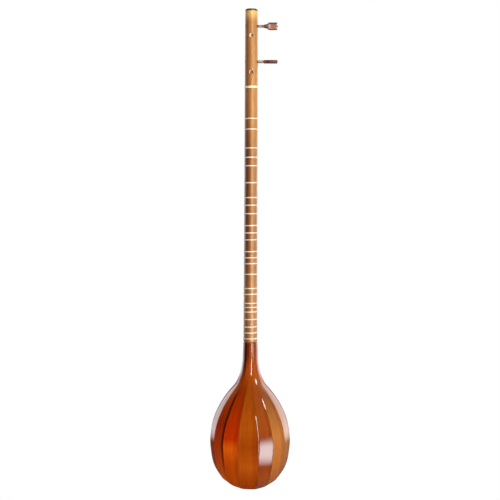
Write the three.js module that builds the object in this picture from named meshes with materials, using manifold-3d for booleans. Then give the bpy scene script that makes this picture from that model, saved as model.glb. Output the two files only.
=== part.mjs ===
// A setar, the long-necked Persian lute, as the separate pieces it is glued, strung and tied from.
// The origin is on the flat front of the neck at the nut's lower edge, where the string length starts.
// +Z runs up the neck to the head, -Y points out of the soundboard, and the bowl swells to +Y.
// Lengths are in millimetres.

import * as THREE from "three";
import { mergeVertices } from "three/addons/utils/BufferGeometryUtils.js";
import Module from "manifold-3d";

const wasm = await Module();
wasm.setup();

// Driving dimensions of the whole instrument
const STRING_LENGTH = 645;
const HEAD_LENGTH = 140.8;
const BOWL_LENGTH = 252.8;
const BOWL_HALF_WIDTH = 69.8;
const BOWL_DEPTH = 126;
const STAVE_THICKNESS = 3;
const SOUNDBOARD_THICKNESS = 1.8;

// Clearances: glued faces, pieces that turn, wires laid on wood, and the overrun of every cut
const GLUE_GAP = 0.3;
const PEG_CLEARANCE = 0.25;
const WIRE_CLEARANCE = 0.3;
const CUT_OVERRUN = 2;

// Neck: half widths and depths at the top of the head and at the bowl
const NECK_TOP_HALF_WIDTH = 10.95;
const NECK_END_HALF_WIDTH = 12;
const NECK_TOP_DEPTH = 22;
const NECK_END_DEPTH = 26;
const NECK_WIDEST_DEPTH = 4;
const NECK_FRONT_INSET = 0.6;
const NECK_BACK_STEPS = 8;
const LAST_FRET_TO_BOWL = 7.3;
const HEAD_CAP_THICKNESS = 2.2;

// Tenon of the neck and the blocks inside the bowl
const TENON_HALF_WIDTH = 4.5;
const TENON_LENGTH = 24;
const TENON_FRONT = 7;
const TENON_BACK = 17;
const NECK_BLOCK_LENGTH = 44;
const TAIL_BLOCK_LENGTH = 26;
const TAIL_BLOCK_HALF_WIDTH = 17;
const TAIL_BLOCK_DEPTH = 46;

// Tied gut frets, from the nut to the bowl, as shares of octaves above the open string
const FRET_OCTAVE_SHARES = [
  0.118, 0.164, 0.249, 0.293, 0.334, 0.42, 0.5, 0.543, 0.592, 0.664, 0.71, 0.755, 0.835,
  0.878, 0.921, 1.002, 1.118, 1.168, 1.25, 1.288, 1.333, 1.409, 1.49, 1.556, 1.625,
];
const FRET_TURNS = 3;
const GUT_DIAMETER = 0.5;
const GUT_PITCH = 0.94;

// Binding behind the nut, which holds the strings down
const BINDING_TURNS = 4;
const BINDING_GUT_DIAMETER = 0.56;
const BINDING_PITCH = 1;
const BINDING_HEIGHT = 4.4;

// Nut and bridge
const NUT_THICKNESS = 2;
const NUT_SEAT_DEPTH = 1.4;
const NUT_RISE = 1.7;
const NOTCH_DEPTH = 0.9;
const BRIDGE_HALF_LENGTH = 28;
const BRIDGE_HEIGHT = 7.6;
const BRIDGE_FOOT_LENGTH = 12;
const BRIDGE_FOOT_HEIGHT = 2.4;
const BRIDGE_ARCH_HEIGHT = 2.8;
const BRIDGE_SHOULDER = 20;
const BRIDGE_THICKNESS = 4;

// Strings, from the treble to the bass: diameters and places as shares of the half nut and half bridge
const STRING_DIAMETERS = [0.22, 0.26, 0.22, 0.4];
const NUT_STRING_SHARES = [0.58, 0.05, -0.42, -0.62];
const BRIDGE_STRING_SHARES = [0.46, 0.02, -0.4, -0.5];
const WIRE_SIDES = 5;

// Pegs: heights above the nut, the shank, and the flat grip
const FRONT_PEG_HEIGHTS = [94, 29.7];
const SIDE_PEG_HEIGHTS = [111, 49];
const SIDE_PEG_DEPTH = 10.6;
const PEG_NECK_RADIUS = 2.25;
const PEG_TIP_RADIUS = 2;
const PEG_TIP_INSET = 1.2;
const PEG_HOLE_FLARE = 0.9;
const PEG_HOLE_FLARE_DEPTH = 1.8;
const PEG_STAND_OFF = 12;
const PEG_SIDES = 12;
const GRIP_LENGTH = 24.2;
const GRIP_ROOT_HALF_WIDTH = 3.2;
const GRIP_HALF_WIDTH = 6.6;
const GRIP_FLARE_LENGTH = 7.6;
const GRIP_BEND_SHARE = 0.62;
const GRIP_DIP = 1.4;
const GRIP_THICKNESS = 6;
const GRIP_BUTTON_RADIUS = 1.5;

// Windings of wire on the pegs
const WINDING_TURNS = 6;
const WINDING_PITCH = 1;
const WINDING_STEPS = 8;
const WINDING_SIDES = 4;
const WINDING_STAND_OFF = 1.3;

// String holder at the tail
const HOLDER_HALF_WIDTH = 12.5;
const HOLDER_RISE = 1.5;
const HOLDER_DEPTH = 12;
const HOLDER_LENGTH = 7;
const HOLDER_PIN_RADIUS = 0.8;
const HOLDER_PIN_LENGTH = 2.6;
const HOLDER_PIN_INSET = 3.2;
const HOLDER_PIN_SPACING = 5.6;
const LOOP_STEPS = 8;

// Small sound holes: one rosette and two side groups
const SOUND_HOLE_RADIUS = 1.3;
const ROSETTE_RADIUS = 7.5;
const ROSETTE_HOLES = 6;
const ROSETTE_TO_BOWL_TOP = 128;
const SIDE_GROUP_RADIUS = 5;
const SIDE_GROUP_HOLES = 4;
const SIDE_GROUP_OFFSET = 31;
const SIDE_GROUP_TO_BOWL_TOP = 146;
const HOLE_SIDES = 8;

// Brace glued under the soundboard
const BRACE_TO_BOWL_TOP = 168;
const BRACE_HALF_LENGTH = 52;
const BRACE_THICKNESS = 5;
const BRACE_HEIGHT = 6;

// Bowl stations from the neck to the tail. Each row holds, as shares of the bowl's length, where the
// section meets the soundboard and where it meets the back, then its depth as a share of the bowl's
// depth, its half width as a share of the bowl's half width, and its widest place as a share of its depth.
const BOWL_STATION_SHARES = [
  [0, 0, 0.198, 0.178, 0.15],
  [0.055, 0.055, 0.202, 0.184, 0.16],
  [0.11, 0.11, 0.212, 0.191, 0.18],
  [0.16, 0.16, 0.232, 0.213, 0.2],
  [0.2, 0.2, 0.268, 0.242, 0.22],
  [0.24, 0.24, 0.33, 0.3, 0.24],
  [0.28, 0.28, 0.42, 0.375, 0.26],
  [0.32, 0.32, 0.525, 0.502, 0.27],
  [0.36, 0.36, 0.63, 0.62, 0.28],
  [0.41, 0.41, 0.745, 0.742, 0.29],
  [0.46, 0.46, 0.84, 0.838, 0.29],
  [0.52, 0.52, 0.92, 0.922, 0.29],
  [0.59, 0.59, 0.975, 0.976, 0.29],
  [0.66, 0.66, 1, 1, 0.29],
  [0.725, 0.735, 0.992, 0.978, 0.29],
  [0.785, 0.81, 0.95, 0.937, 0.29],
  [0.838, 0.875, 0.875, 0.855, 0.3],
  [0.88, 0.93, 0.77, 0.742, 0.32],
  [0.912, 0.966, 0.64, 0.606, 0.35],
  [0.936, 0.988, 0.49, 0.455, 0.38],
  [0.952, 0.998, 0.33, 0.31, 0.42],
  [0.962, 0.993, 0.185, 0.19, 0.44],
  [0.967, 0.979, 0.075, 0.09, 0.45],
];
// How closely the seams crowd to the middle of the back, at the same stations
const SEAM_CROWDING_SHARES = [
  1.3, 1.3, 1.28, 1.26, 1.24, 1.22, 1.2, 1.18, 1.16, 1.13, 1.1, 1.06, 1.02, 1, 1, 1,
  0.98, 0.95, 0.93, 0.92, 0.92, 0.92, 0.92,
];
// Seams from the rim at -X to the rim at +X, as shares of the turn from the back to a rim. The staves are
// bent and fitted by hand, so the two sides differ a little.
const SEAM_SHARES = [-1, -0.856, -0.705, -0.515, -0.3, -0.107, 0.154, 0.362, 0.55, 0.705, 0.856, 1];
const BOWL_CELLS = 20;

// Sizes that follow
const STRING_UP = new THREE.Vector3(0, 1, 0);
const WINDING_UP = new THREE.Vector3(0, 0, 1);
const RIM_PLANE = SOUNDBOARD_THICKNESS + GLUE_GAP;
const fretPlace = (octaves) => STRING_LENGTH * (1 - 2 ** -octaves);
const LAST_FRET_PLACE = fretPlace(FRET_OCTAVE_SHARES[FRET_OCTAVE_SHARES.length - 1]);
const NECK_END = -(LAST_FRET_PLACE + LAST_FRET_TO_BOWL);
const BOWL_TOP = NECK_END - GLUE_GAP;
const NECK_TOP = HEAD_LENGTH - HEAD_CAP_THICKNESS - GLUE_GAP;
const BRIDGE_PLACE = -STRING_LENGTH;

// Solids: a geometry becomes a solid for a cut or a join, and turns back into a geometry
function solidOf(geometry) {
  const bare = new THREE.BufferGeometry();
  bare.setAttribute("position", geometry.getAttribute("position"));
  bare.setIndex(geometry.getIndex());
  const merged = mergeVertices(bare);
  return new wasm.Manifold(
    new wasm.Mesh({
      numProp: 3,
      vertProperties: merged.getAttribute("position").array,
      triVerts: new Uint32Array(merged.getIndex().array),
    }),
  );
}

function geometryOf(solid) {
  const mesh = solid.getMesh();
  const geometry = new THREE.BufferGeometry();
  geometry.setAttribute("position", new THREE.BufferAttribute(mesh.vertProperties, 3));
  geometry.setIndex(new THREE.BufferAttribute(mesh.triVerts, 1));
  return geometry;
}

// A box between two corners
function boxBetween(low, high) {
  const size = high.clone().sub(low);
  const middle = low.clone().add(high).multiplyScalar(1 / 2);
  return new THREE.BoxGeometry(size.x, size.y, size.z).translate(middle.x, middle.y, middle.z);
}

// A closed skin over rings of equally many points, each ring seen anticlockwise from the last one
function skinOver(rings) {
  const count = rings[0].length;
  const places = rings.flat().flatMap((point) => [point.x, point.y, point.z]);
  const faces = [];
  for (let row = 0; row + 1 < rings.length; row += 1) {
    for (let column = 0; column < count; column += 1) {
      const next = (column + 1) % count;
      const [a, b] = [row * count + column, row * count + next];
      const [c, d] = [(row + 1) * count + column, (row + 1) * count + next];
      faces.push(a, b, d, a, d, c);
    }
  }
  const last = (rings.length - 1) * count;
  for (let column = 1; column + 1 < count; column += 1) {
    faces.push(0, column + 1, column);
    faces.push(last, last + column, last + column + 1);
  }
  const geometry = new THREE.BufferGeometry();
  geometry.setAttribute("position", new THREE.Float32BufferAttribute(places, 3));
  geometry.setIndex(faces);
  return geometry;
}

// A wire along points: each ring stands square to the wire, turned by one reference direction
function wireAlong(points, diameter, sides, reference) {
  const rings = points.map((point, index) => {
    const before = points[Math.max(index - 1, 0)];
    const after = points[Math.min(index + 1, points.length - 1)];
    const forward = after.clone().sub(before).normalize();
    const across = new THREE.Vector3().crossVectors(reference, forward).normalize();
    const up = new THREE.Vector3().crossVectors(forward, across);
    return Array.from({ length: sides }, (_, side) => {
      const angle = (2 * Math.PI * side) / sides;
      return point
        .clone()
        .addScaledVector(across, (Math.cos(angle) * diameter) / 2)
        .addScaledVector(up, (Math.sin(angle) * diameter) / 2);
    });
  });
  return skinOver(rings);
}

// The least gap between stretches of a wound wire that lie half a turn or more apart
function leastGap(points, diameter, stepsPerTurn) {
  let least = Infinity;
  const nearest = new THREE.Vector3();
  for (let i = 0; i < points.length; i += 1) {
    for (let j = i + Math.ceil(stepsPerTurn / 2); j + 1 < points.length; j += 1) {
      new THREE.Line3(points[j], points[j + 1]).closestPointToPoint(points[i], true, nearest);
      least = Math.min(least, nearest.distanceTo(points[i]) - diameter);
    }
  }
  return least;
}

// Neck: a flat front and a round back, tapering from the bowl to the head
function neckSection(height, offset) {
  const share = (NECK_TOP - height) / (NECK_TOP - NECK_END);
  const halfWidth = THREE.MathUtils.lerp(NECK_TOP_HALF_WIDTH, NECK_END_HALF_WIDTH, share);
  const depth = THREE.MathUtils.lerp(NECK_TOP_DEPTH, NECK_END_DEPTH, share);
  const outline = [new THREE.Vector2(NECK_FRONT_INSET - halfWidth, 0)];
  outline.push(new THREE.Vector2(halfWidth - NECK_FRONT_INSET, 0));
  for (let step = 0; step <= NECK_BACK_STEPS; step += 1) {
    const angle = (Math.PI * step) / NECK_BACK_STEPS;
    const rise = (depth - NECK_WIDEST_DEPTH) * Math.sin(angle);
    outline.push(new THREE.Vector2(halfWidth * Math.cos(angle), NECK_WIDEST_DEPTH + rise));
  }
  return outline.map((corner, index) => {
    const before = outline[(index + outline.length - 1) % outline.length];
    const after = outline[(index + 1) % outline.length];
    const inward = corner.clone().sub(before).normalize();
    const outward = after.clone().sub(corner).normalize();
    const normal = new THREE.Vector2(inward.y + outward.y, -inward.x - outward.x).normalize();
    const stretch = offset / Math.max(normal.dot(new THREE.Vector2(outward.y, -outward.x)), 0.5);
    return corner.clone().addScaledVector(normal, stretch);
  });
}

const neckRing = (height) =>
  neckSection(height, 0).map((corner) => new THREE.Vector3(corner.x, corner.y, height));

function neckHalfWidth(height) {
  return neckSection(height, 0)[2].x;
}

function neckDepth(height) {
  return neckSection(height, 0)[2 + NECK_BACK_STEPS / 2].y;
}

// A gut wound round the neck: level over the front, climbing one pitch across the back
function gutRound(height, turns, diameter, pitch, frontLift) {
  const offset = WIRE_CLEARANCE + diameter / 2;
  const corners = neckSection(height, offset);
  corners[0].y -= frontLift;
  corners[1].y -= frontLift;
  const count = corners.length;
  const firstBack = count - (NECK_BACK_STEPS + 1);
  const bottom = height - (pitch * turns) / 2;
  const points = [];
  for (let step = 0; step <= turns * count; step += 1) {
    const turn = Math.floor(step / count);
    const climb = Math.min((step % count) / NECK_BACK_STEPS, 1);
    const corner = corners[(firstBack + step) % count];
    points.push(new THREE.Vector3(corner.x, corner.y, bottom + pitch * (turn + climb)));
  }
  return { points, gap: leastGap(points, diameter, count) };
}

// Bowl: smooth curves through the station shares, a skin point, and its outward direction
const rowCurve = new THREE.CatmullRomCurve3(
  BOWL_STATION_SHARES.map((row) => new THREE.Vector3(row[0], row[1], row[2])),
  false,
  "catmullrom",
);
const widthCurve = new THREE.CatmullRomCurve3(
  BOWL_STATION_SHARES.map((row, index) => new THREE.Vector3(row[3], row[4], SEAM_CROWDING_SHARES[index])),
  false,
  "catmullrom",
);

function bowlPoint(along, seam) {
  const place = rowCurve.getPoint(along);
  const shape = widthCurve.getPoint(along);
  const rimTurn = Math.acos(-shape.y / (1 - shape.y));
  const turn = rimTurn * Math.sign(seam) * Math.abs(seam) ** shape.z;
  const depthShare = shape.y + (1 - shape.y) * Math.cos(turn);
  const length = BOWL_LENGTH * THREE.MathUtils.lerp(place.x, place.y, depthShare);
  return new THREE.Vector3(
    BOWL_HALF_WIDTH * shape.x * Math.sin(turn),
    RIM_PLANE + BOWL_DEPTH * place.z * depthShare,
    BOWL_TOP - length,
  );
}

function bowlNormal(along, seam) {
  const nudge = 1e-3;
  const [low, high] = [Math.max(along - nudge, 0), Math.min(along + nudge, 1)];
  const downward = bowlPoint(high, seam).sub(bowlPoint(low, seam));
  const aside = Math.max(Math.min(seam, 1 - nudge), nudge - 1);
  const sideways = bowlPoint(along, aside + nudge).sub(bowlPoint(along, aside - nudge));
  return new THREE.Vector3().crossVectors(sideways, downward).normalize();
}

// A point inside the skin: at the rim it stays in the soundboard's glue plane
function bowlInside(along, seam, depth) {
  const normal = bowlNormal(along, seam);
  if (Math.abs(seam) === 1) {
    normal.y = 0;
    normal.normalize();
  }
  return bowlPoint(along, seam).addScaledVector(normal, -depth);
}

const bowlStations = Array.from({ length: BOWL_CELLS + 1 }, (_, cell) => cell / BOWL_CELLS);

// One stave: its outer and inner faces, drawn in by half a glue line at each seam
function staveGeometry(index) {
  const [near, far] = [SEAM_SHARES[index], SEAM_SHARES[index + 1]];
  const rings = bowlStations.map((along) => {
    const corners = [bowlPoint(along, near), bowlPoint(along, far)];
    corners.push(bowlInside(along, far, STAVE_THICKNESS), bowlInside(along, near, STAVE_THICKNESS));
    const across = corners[1].clone().sub(corners[0]).normalize().multiplyScalar(GLUE_GAP / 2);
    const innerAcross = corners[2].clone().sub(corners[3]).normalize().multiplyScalar(GLUE_GAP / 2);
    if (near !== -1) {
      corners[0].add(across);
      corners[3].add(innerAcross);
    }
    if (far !== 1) {
      corners[1].sub(across);
      corners[2].sub(innerAcross);
    }
    return corners;
  });
  return skinOver(rings);
}

// The room inside the staves, or the bowl's outer form, as one solid: depth is measured inwards
function bowlCore(depth, rimDepth) {
  const rings = bowlStations.map((along) =>
    SEAM_SHARES.map((seam) => {
      const point = bowlInside(along, seam, depth);
      if (Math.abs(seam) === 1) {
        point.y += rimDepth;
      }
      return point;
    }),
  );
  return solidOf(skinOver(rings));
}

// Materials
const finish = (color, roughness, metalness = 0) =>
  new THREE.MeshStandardMaterial({ color, roughness, metalness });
const FINISHES = {
  mulberry: () => finish(0xa8581f, 0.25),
  redMulberry: () => finish(0x8f3414, 0.25),
  walnut: () => finish(0x9c6a38, 0.4),
  spruce: () => finish(0xd9a866, 0.55),
  boxwood: () => finish(0xc99a5b, 0.5),
  rosewood: () => finish(0x3d1f14, 0.4),
  bone: () => finish(0xefe6cf, 0.4),
  gut: () => finish(0xead9b8, 0.5),
  steel: () => finish(0xb9bcc0, 0.3, 1),
  brass: () => finish(0xc8a24a, 0.3, 1),
};

const setar = new THREE.Group();

function place(name, geometry, material, parent = setar) {
  const mesh = new THREE.Mesh(geometry, material);
  mesh.name = name;
  parent.add(mesh);
  return mesh;
}

// Bowl staves
for (let index = 0; index + 1 < SEAM_SHARES.length; index += 1) {
  const material = index % 2 ? FINISHES.redMulberry() : FINISHES.mulberry();
  place(`bowl_stave_${String(index + 1).padStart(2, "0")}`, staveGeometry(index), material);
}

// Neck block in the throat, with the mortise for the neck's tenon, and tail block
const innerRoom = bowlCore(STAVE_THICKNESS + GLUE_GAP, 0);
const reach = BOWL_HALF_WIDTH + CUT_OVERRUN;
const blockFront = RIM_PLANE + GLUE_GAP;

function blockBetween(top, bottom, halfWidth, depth) {
  const low = new THREE.Vector3(-halfWidth, blockFront, bottom);
  const high = new THREE.Vector3(halfWidth, blockFront + depth, top);
  return innerRoom.intersect(solidOf(boxBetween(low, high)));
}

function tenonBox(gap, top) {
  const low = new THREE.Vector3(-TENON_HALF_WIDTH - gap, TENON_FRONT - gap, NECK_END - TENON_LENGTH - gap);
  const high = new THREE.Vector3(TENON_HALF_WIDTH + gap, TENON_BACK + gap, top);
  return solidOf(boxBetween(low, high));
}

const neckBlock = blockBetween(BOWL_TOP + CUT_OVERRUN, BOWL_TOP - NECK_BLOCK_LENGTH, reach, BOWL_DEPTH);
const mortise = tenonBox(GLUE_GAP, BOWL_TOP + CUT_OVERRUN);
place("neck_block", geometryOf(neckBlock.subtract(mortise)), FINISHES.walnut());

const bowlEnd = BOWL_TOP - BOWL_LENGTH;
const tailBlock = blockBetween(
  bowlEnd + TAIL_BLOCK_LENGTH,
  bowlEnd - CUT_OVERRUN,
  TAIL_BLOCK_HALF_WIDTH,
  TAIL_BLOCK_DEPTH,
);
place("tail_block", geometryOf(tailBlock), FINISHES.walnut());

// Soundboard, flush with the rim, with its small sound holes
const rimPoints = bowlStations.map((along) => bowlPoint(along, 1));

function roundHole(x, z) {
  const hole = new THREE.Path();
  const corners = Array.from({ length: HOLE_SIDES }, (_, side) => {
    const angle = (2 * Math.PI * side) / HOLE_SIDES;
    return new THREE.Vector2(
      x + SOUND_HOLE_RADIUS * Math.cos(angle),
      z + SOUND_HOLE_RADIUS * Math.sin(angle),
    );
  });
  return hole.setFromPoints(corners);
}

function holeGroup(x, z, radius, count) {
  const holes = [roundHole(x, z)];
  for (let index = 0; index < count; index += 1) {
    const angle = (2 * Math.PI * index) / count;
    holes.push(roundHole(x + radius * Math.sin(angle), z + radius * Math.cos(angle)));
  }
  return holes;
}

const soundboardOutline = new THREE.Shape([
  ...rimPoints.map((point) => new THREE.Vector2(-point.x, point.z)),
  ...rimPoints.map((point) => new THREE.Vector2(point.x, point.z)).reverse(),
]);
soundboardOutline.holes.push(
  ...holeGroup(0, BOWL_TOP - ROSETTE_TO_BOWL_TOP, ROSETTE_RADIUS, ROSETTE_HOLES),
  ...[-1, 1].flatMap((side) =>
    holeGroup(
      side * SIDE_GROUP_OFFSET,
      BOWL_TOP - SIDE_GROUP_TO_BOWL_TOP,
      SIDE_GROUP_RADIUS,
      SIDE_GROUP_HOLES,
    ),
  ),
);
const soundboard = place(
  "soundboard",
  new THREE.ExtrudeGeometry(soundboardOutline, { depth: SOUNDBOARD_THICKNESS, bevelEnabled: false }),
  FINISHES.spruce(),
);
soundboard.rotation.x = Math.PI / 2;
soundboard.position.y = SOUNDBOARD_THICKNESS;

place(
  "soundboard_brace",
  boxBetween(
    new THREE.Vector3(-BRACE_HALF_LENGTH, RIM_PLANE, BOWL_TOP - BRACE_TO_BOWL_TOP - BRACE_THICKNESS),
    new THREE.Vector3(BRACE_HALF_LENGTH, RIM_PLANE + BRACE_HEIGHT, BOWL_TOP - BRACE_TO_BOWL_TOP),
  ),
  FINISHES.spruce(),
);

// Pegs: a tapered round shank and a flat grip with a button, all standing along +Z of their group
function gripGeometry() {
  const shoulder = GRIP_FLARE_LENGTH;
  const end = GRIP_LENGTH - GRIP_BUTTON_RADIUS;
  const shape = new THREE.Shape();
  shape.moveTo(-GRIP_ROOT_HALF_WIDTH, 0);
  shape.lineTo(GRIP_ROOT_HALF_WIDTH, 0);
  shape.quadraticCurveTo(GRIP_ROOT_HALF_WIDTH, shoulder * GRIP_BEND_SHARE, GRIP_HALF_WIDTH, shoulder);
  shape.lineTo(GRIP_HALF_WIDTH, end);
  shape.quadraticCurveTo(GRIP_HALF_WIDTH / 2, end - 2 * GRIP_DIP, 0, end - GRIP_DIP);
  shape.quadraticCurveTo(-GRIP_HALF_WIDTH / 2, end - 2 * GRIP_DIP, -GRIP_HALF_WIDTH, end);
  shape.lineTo(-GRIP_HALF_WIDTH, shoulder);
  shape.quadraticCurveTo(-GRIP_ROOT_HALF_WIDTH, shoulder * GRIP_BEND_SHARE, -GRIP_ROOT_HALF_WIDTH, 0);
  const grip = new THREE.ExtrudeGeometry(shape, {
    depth: GRIP_THICKNESS,
    bevelEnabled: false,
    curveSegments: 4,
  });
  return grip.translate(0, 0, -GRIP_THICKNESS / 2).rotateX(Math.PI / 2);
}

function pegGeometry(through) {
  const tip = PEG_TIP_INSET - through;
  const profile = [
    new THREE.Vector2(0, tip),
    new THREE.Vector2(PEG_TIP_RADIUS, tip),
    new THREE.Vector2(PEG_NECK_RADIUS, PEG_STAND_OFF + GRIP_ROOT_HALF_WIDTH),
    new THREE.Vector2(0, PEG_STAND_OFF + GRIP_ROOT_HALF_WIDTH),
  ];
  const shank = solidOf(new THREE.LatheGeometry(profile, PEG_SIDES).rotateX(Math.PI / 2));
  const grip = solidOf(gripGeometry().translate(0, 0, PEG_STAND_OFF));
  const buttonPlace = PEG_STAND_OFF + GRIP_LENGTH - GRIP_BUTTON_RADIUS - GRIP_DIP;
  const button = new THREE.SphereGeometry(GRIP_BUTTON_RADIUS, PEG_SIDES, PEG_SIDES / 2);
  return geometryOf(shank.add(grip).add(solidOf(button.translate(0, 0, buttonPlace))));
}

const windingRadius = (diameter) => PEG_NECK_RADIUS + WIRE_CLEARANCE + diameter / 2;

function windingPoints(diameter) {
  const radius = windingRadius(diameter) / Math.cos(Math.PI / WINDING_STEPS);
  const bottom = WINDING_STAND_OFF + diameter + WIRE_CLEARANCE;
  return Array.from({ length: WINDING_TURNS * WINDING_STEPS + 1 }, (_, step) => {
    const angle = (2 * Math.PI * step) / WINDING_STEPS;
    const rise = (WINDING_PITCH * step) / WINDING_STEPS;
    return new THREE.Vector3(radius * Math.cos(angle), radius * Math.sin(angle), bottom + rise);
  });
}

// Peg groups: strings 1 and 2 go to the front pegs, 3 and 4 to the pegs in the side.
// The grip turn is how far each grip stands from lying across its own axis of rotation.
const PEG_PLACES = [
  { name: "front_peg_upper", height: FRONT_PEG_HEIGHTS[0], front: true, gripTurn: Math.PI / 2 },
  { name: "front_peg_lower", height: FRONT_PEG_HEIGHTS[1], front: true, gripTurn: Math.PI / 3 },
  { name: "side_peg_upper", height: SIDE_PEG_HEIGHTS[0], front: false, gripTurn: 0 },
  { name: "side_peg_lower", height: SIDE_PEG_HEIGHTS[1], front: false, gripTurn: Math.PI / 2 },
];
const pegThrough = (peg) => (peg.front ? neckDepth(peg.height) : 2 * neckHalfWidth(peg.height));

PEG_PLACES.forEach((peg, index) => {
  const group = new THREE.Group();
  const side = -neckHalfWidth(peg.height);
  group.position.set(peg.front ? 0 : side, peg.front ? 0 : SIDE_PEG_DEPTH, peg.height);
  group.rotation.set(peg.front ? Math.PI / 2 : 0, peg.front ? 0 : -Math.PI / 2, 0);
  group.rotateZ(peg.gripTurn);
  const diameter = STRING_DIAMETERS[index];
  const points = windingPoints(diameter);
  place(peg.name, pegGeometry(pegThrough(peg)), FINISHES.rosewood(), group);
  place(
    `${peg.name}_winding`,
    wireAlong(points, diameter, WINDING_SIDES, WINDING_UP),
    index === 1 || index === 3 ? FINISHES.brass() : FINISHES.steel(),
    group,
  );
  console.log(`${peg.name}_winding least gap ${leastGap(points, diameter, WINDING_STEPS).toFixed(2)} mm`);
  setar.add(group);
});

// Neck with its tenon, the peg holes and the nut's seat. The front pegs' holes widen at the back.
function pegHole(peg) {
  const through = pegThrough(peg);
  const length = through + 2 * CUT_OVERRUN;
  const radius = (PEG_NECK_RADIUS + PEG_CLEARANCE) / Math.cos(Math.PI / PEG_SIDES);
  const hole = new THREE.CylinderGeometry(radius, radius, length, PEG_SIDES);
  if (!peg.front) {
    return solidOf(hole.rotateZ(Math.PI / 2).translate(0, SIDE_PEG_DEPTH, peg.height));
  }
  const wide = radius + 2 * PEG_HOLE_FLARE;
  const flare = new THREE.CylinderGeometry(wide, radius, 2 * PEG_HOLE_FLARE_DEPTH, PEG_SIDES);
  const straight = solidOf(hole.translate(0, through / 2, peg.height));
  return straight.add(solidOf(flare.translate(0, through, peg.height)));
}

const nutSeat = boxBetween(
  new THREE.Vector3(-NECK_END_HALF_WIDTH - CUT_OVERRUN, -CUT_OVERRUN, -GLUE_GAP),
  new THREE.Vector3(NECK_END_HALF_WIDTH + CUT_OVERRUN, NUT_SEAT_DEPTH, NUT_THICKNESS + GLUE_GAP),
);
let neck = solidOf(skinOver([neckRing(NECK_END), neckRing(NECK_TOP)]));
neck = neck.add(tenonBox(0, NECK_END + CUT_OVERRUN)).subtract(solidOf(nutSeat));
PEG_PLACES.forEach((peg) => {
  neck = neck.subtract(pegHole(peg));
});
place("neck", geometryOf(neck), FINISHES.walnut());

const capBottom = NECK_TOP + GLUE_GAP;
const capRings = [capBottom, HEAD_LENGTH].map((height) =>
  neckSection(NECK_TOP, 0).map((corner) => new THREE.Vector3(corner.x, corner.y, height)),
);
place("head_cap", skinOver(capRings), FINISHES.rosewood());

// Nut and bridge, with a notch for each string
const nutHalfLength = neckHalfWidth(0) - NECK_FRONT_INSET;
const nutStringX = NUT_STRING_SHARES.map((share) => share * nutHalfLength);
const bridgeStringX = BRIDGE_STRING_SHARES.map((share) => share * BRIDGE_HALF_LENGTH);

function notched(solid, places, top, z, thickness) {
  return STRING_DIAMETERS.reduce((rest, diameter, index) => {
    const half = diameter / 2 + WIRE_CLEARANCE;
    const low = new THREE.Vector3(places[index] - half, -top - CUT_OVERRUN, z - thickness);
    const high = new THREE.Vector3(places[index] + half, NOTCH_DEPTH - top, z + thickness);
    return rest.subtract(solidOf(boxBetween(low, high)));
  }, solid);
}

const nutBlock = boxBetween(
  new THREE.Vector3(-nutHalfLength, -NUT_RISE, 0),
  new THREE.Vector3(nutHalfLength, NUT_SEAT_DEPTH - GLUE_GAP, NUT_THICKNESS),
);
const nut = notched(solidOf(nutBlock), nutStringX, NUT_RISE, 0, NUT_THICKNESS + CUT_OVERRUN);
place("nut", geometryOf(nut), FINISHES.bone());

const bridgeShape = new THREE.Shape();
const foot = BRIDGE_HALF_LENGTH - BRIDGE_FOOT_LENGTH;
bridgeShape.moveTo(-BRIDGE_HALF_LENGTH, GLUE_GAP);
bridgeShape.lineTo(-foot, GLUE_GAP);
bridgeShape.quadraticCurveTo(0, 2 * BRIDGE_ARCH_HEIGHT - GLUE_GAP, foot, GLUE_GAP);
bridgeShape.lineTo(BRIDGE_HALF_LENGTH, GLUE_GAP);
bridgeShape.lineTo(BRIDGE_HALF_LENGTH, BRIDGE_FOOT_HEIGHT);
bridgeShape.quadraticCurveTo(BRIDGE_SHOULDER, BRIDGE_FOOT_HEIGHT, BRIDGE_SHOULDER, BRIDGE_HEIGHT);
bridgeShape.lineTo(-BRIDGE_SHOULDER, BRIDGE_HEIGHT);
bridgeShape.quadraticCurveTo(-BRIDGE_SHOULDER, BRIDGE_FOOT_HEIGHT, -BRIDGE_HALF_LENGTH, BRIDGE_FOOT_HEIGHT);
const bridgeBlock = new THREE.ExtrudeGeometry(bridgeShape, {
  depth: BRIDGE_THICKNESS,
  bevelEnabled: false,
  curveSegments: 6,
});
bridgeBlock.rotateX(Math.PI).translate(0, 0, BRIDGE_PLACE + BRIDGE_THICKNESS / 2);
const bridge = notched(
  solidOf(bridgeBlock),
  bridgeStringX,
  BRIDGE_HEIGHT,
  BRIDGE_PLACE,
  BRIDGE_THICKNESS + CUT_OVERRUN,
);
place("bridge", geometryOf(bridge), FINISHES.boxwood());

// String holder: a wedge glued under the soundboard's tail edge, with four pins
const rimEnd = rimPoints[rimPoints.length - 1].z;
const holderTop = rimEnd - GLUE_GAP;
const pinZ = holderTop - HOLDER_PIN_INSET;
const pinX = STRING_DIAMETERS.map((_, index) => ((3 - 2 * index) * HOLDER_PIN_SPACING) / 2);
const holderBlock = boxBetween(
  new THREE.Vector3(-HOLDER_HALF_WIDTH, -HOLDER_RISE, holderTop - HOLDER_LENGTH),
  new THREE.Vector3(HOLDER_HALF_WIDTH, HOLDER_DEPTH, holderTop),
);
let holder = solidOf(holderBlock).subtract(bowlCore(-GLUE_GAP, -GLUE_GAP));
pinX.forEach((x) => {
  const length = HOLDER_PIN_LENGTH + HOLDER_RISE;
  const pin = new THREE.CylinderGeometry(HOLDER_PIN_RADIUS, HOLDER_PIN_RADIUS, length, HOLE_SIDES);
  holder = holder.add(solidOf(pin.translate(x, length / 2 - HOLDER_RISE - HOLDER_PIN_LENGTH, pinZ)));
});
place("string_holder", geometryOf(holder), FINISHES.bone());

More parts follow.
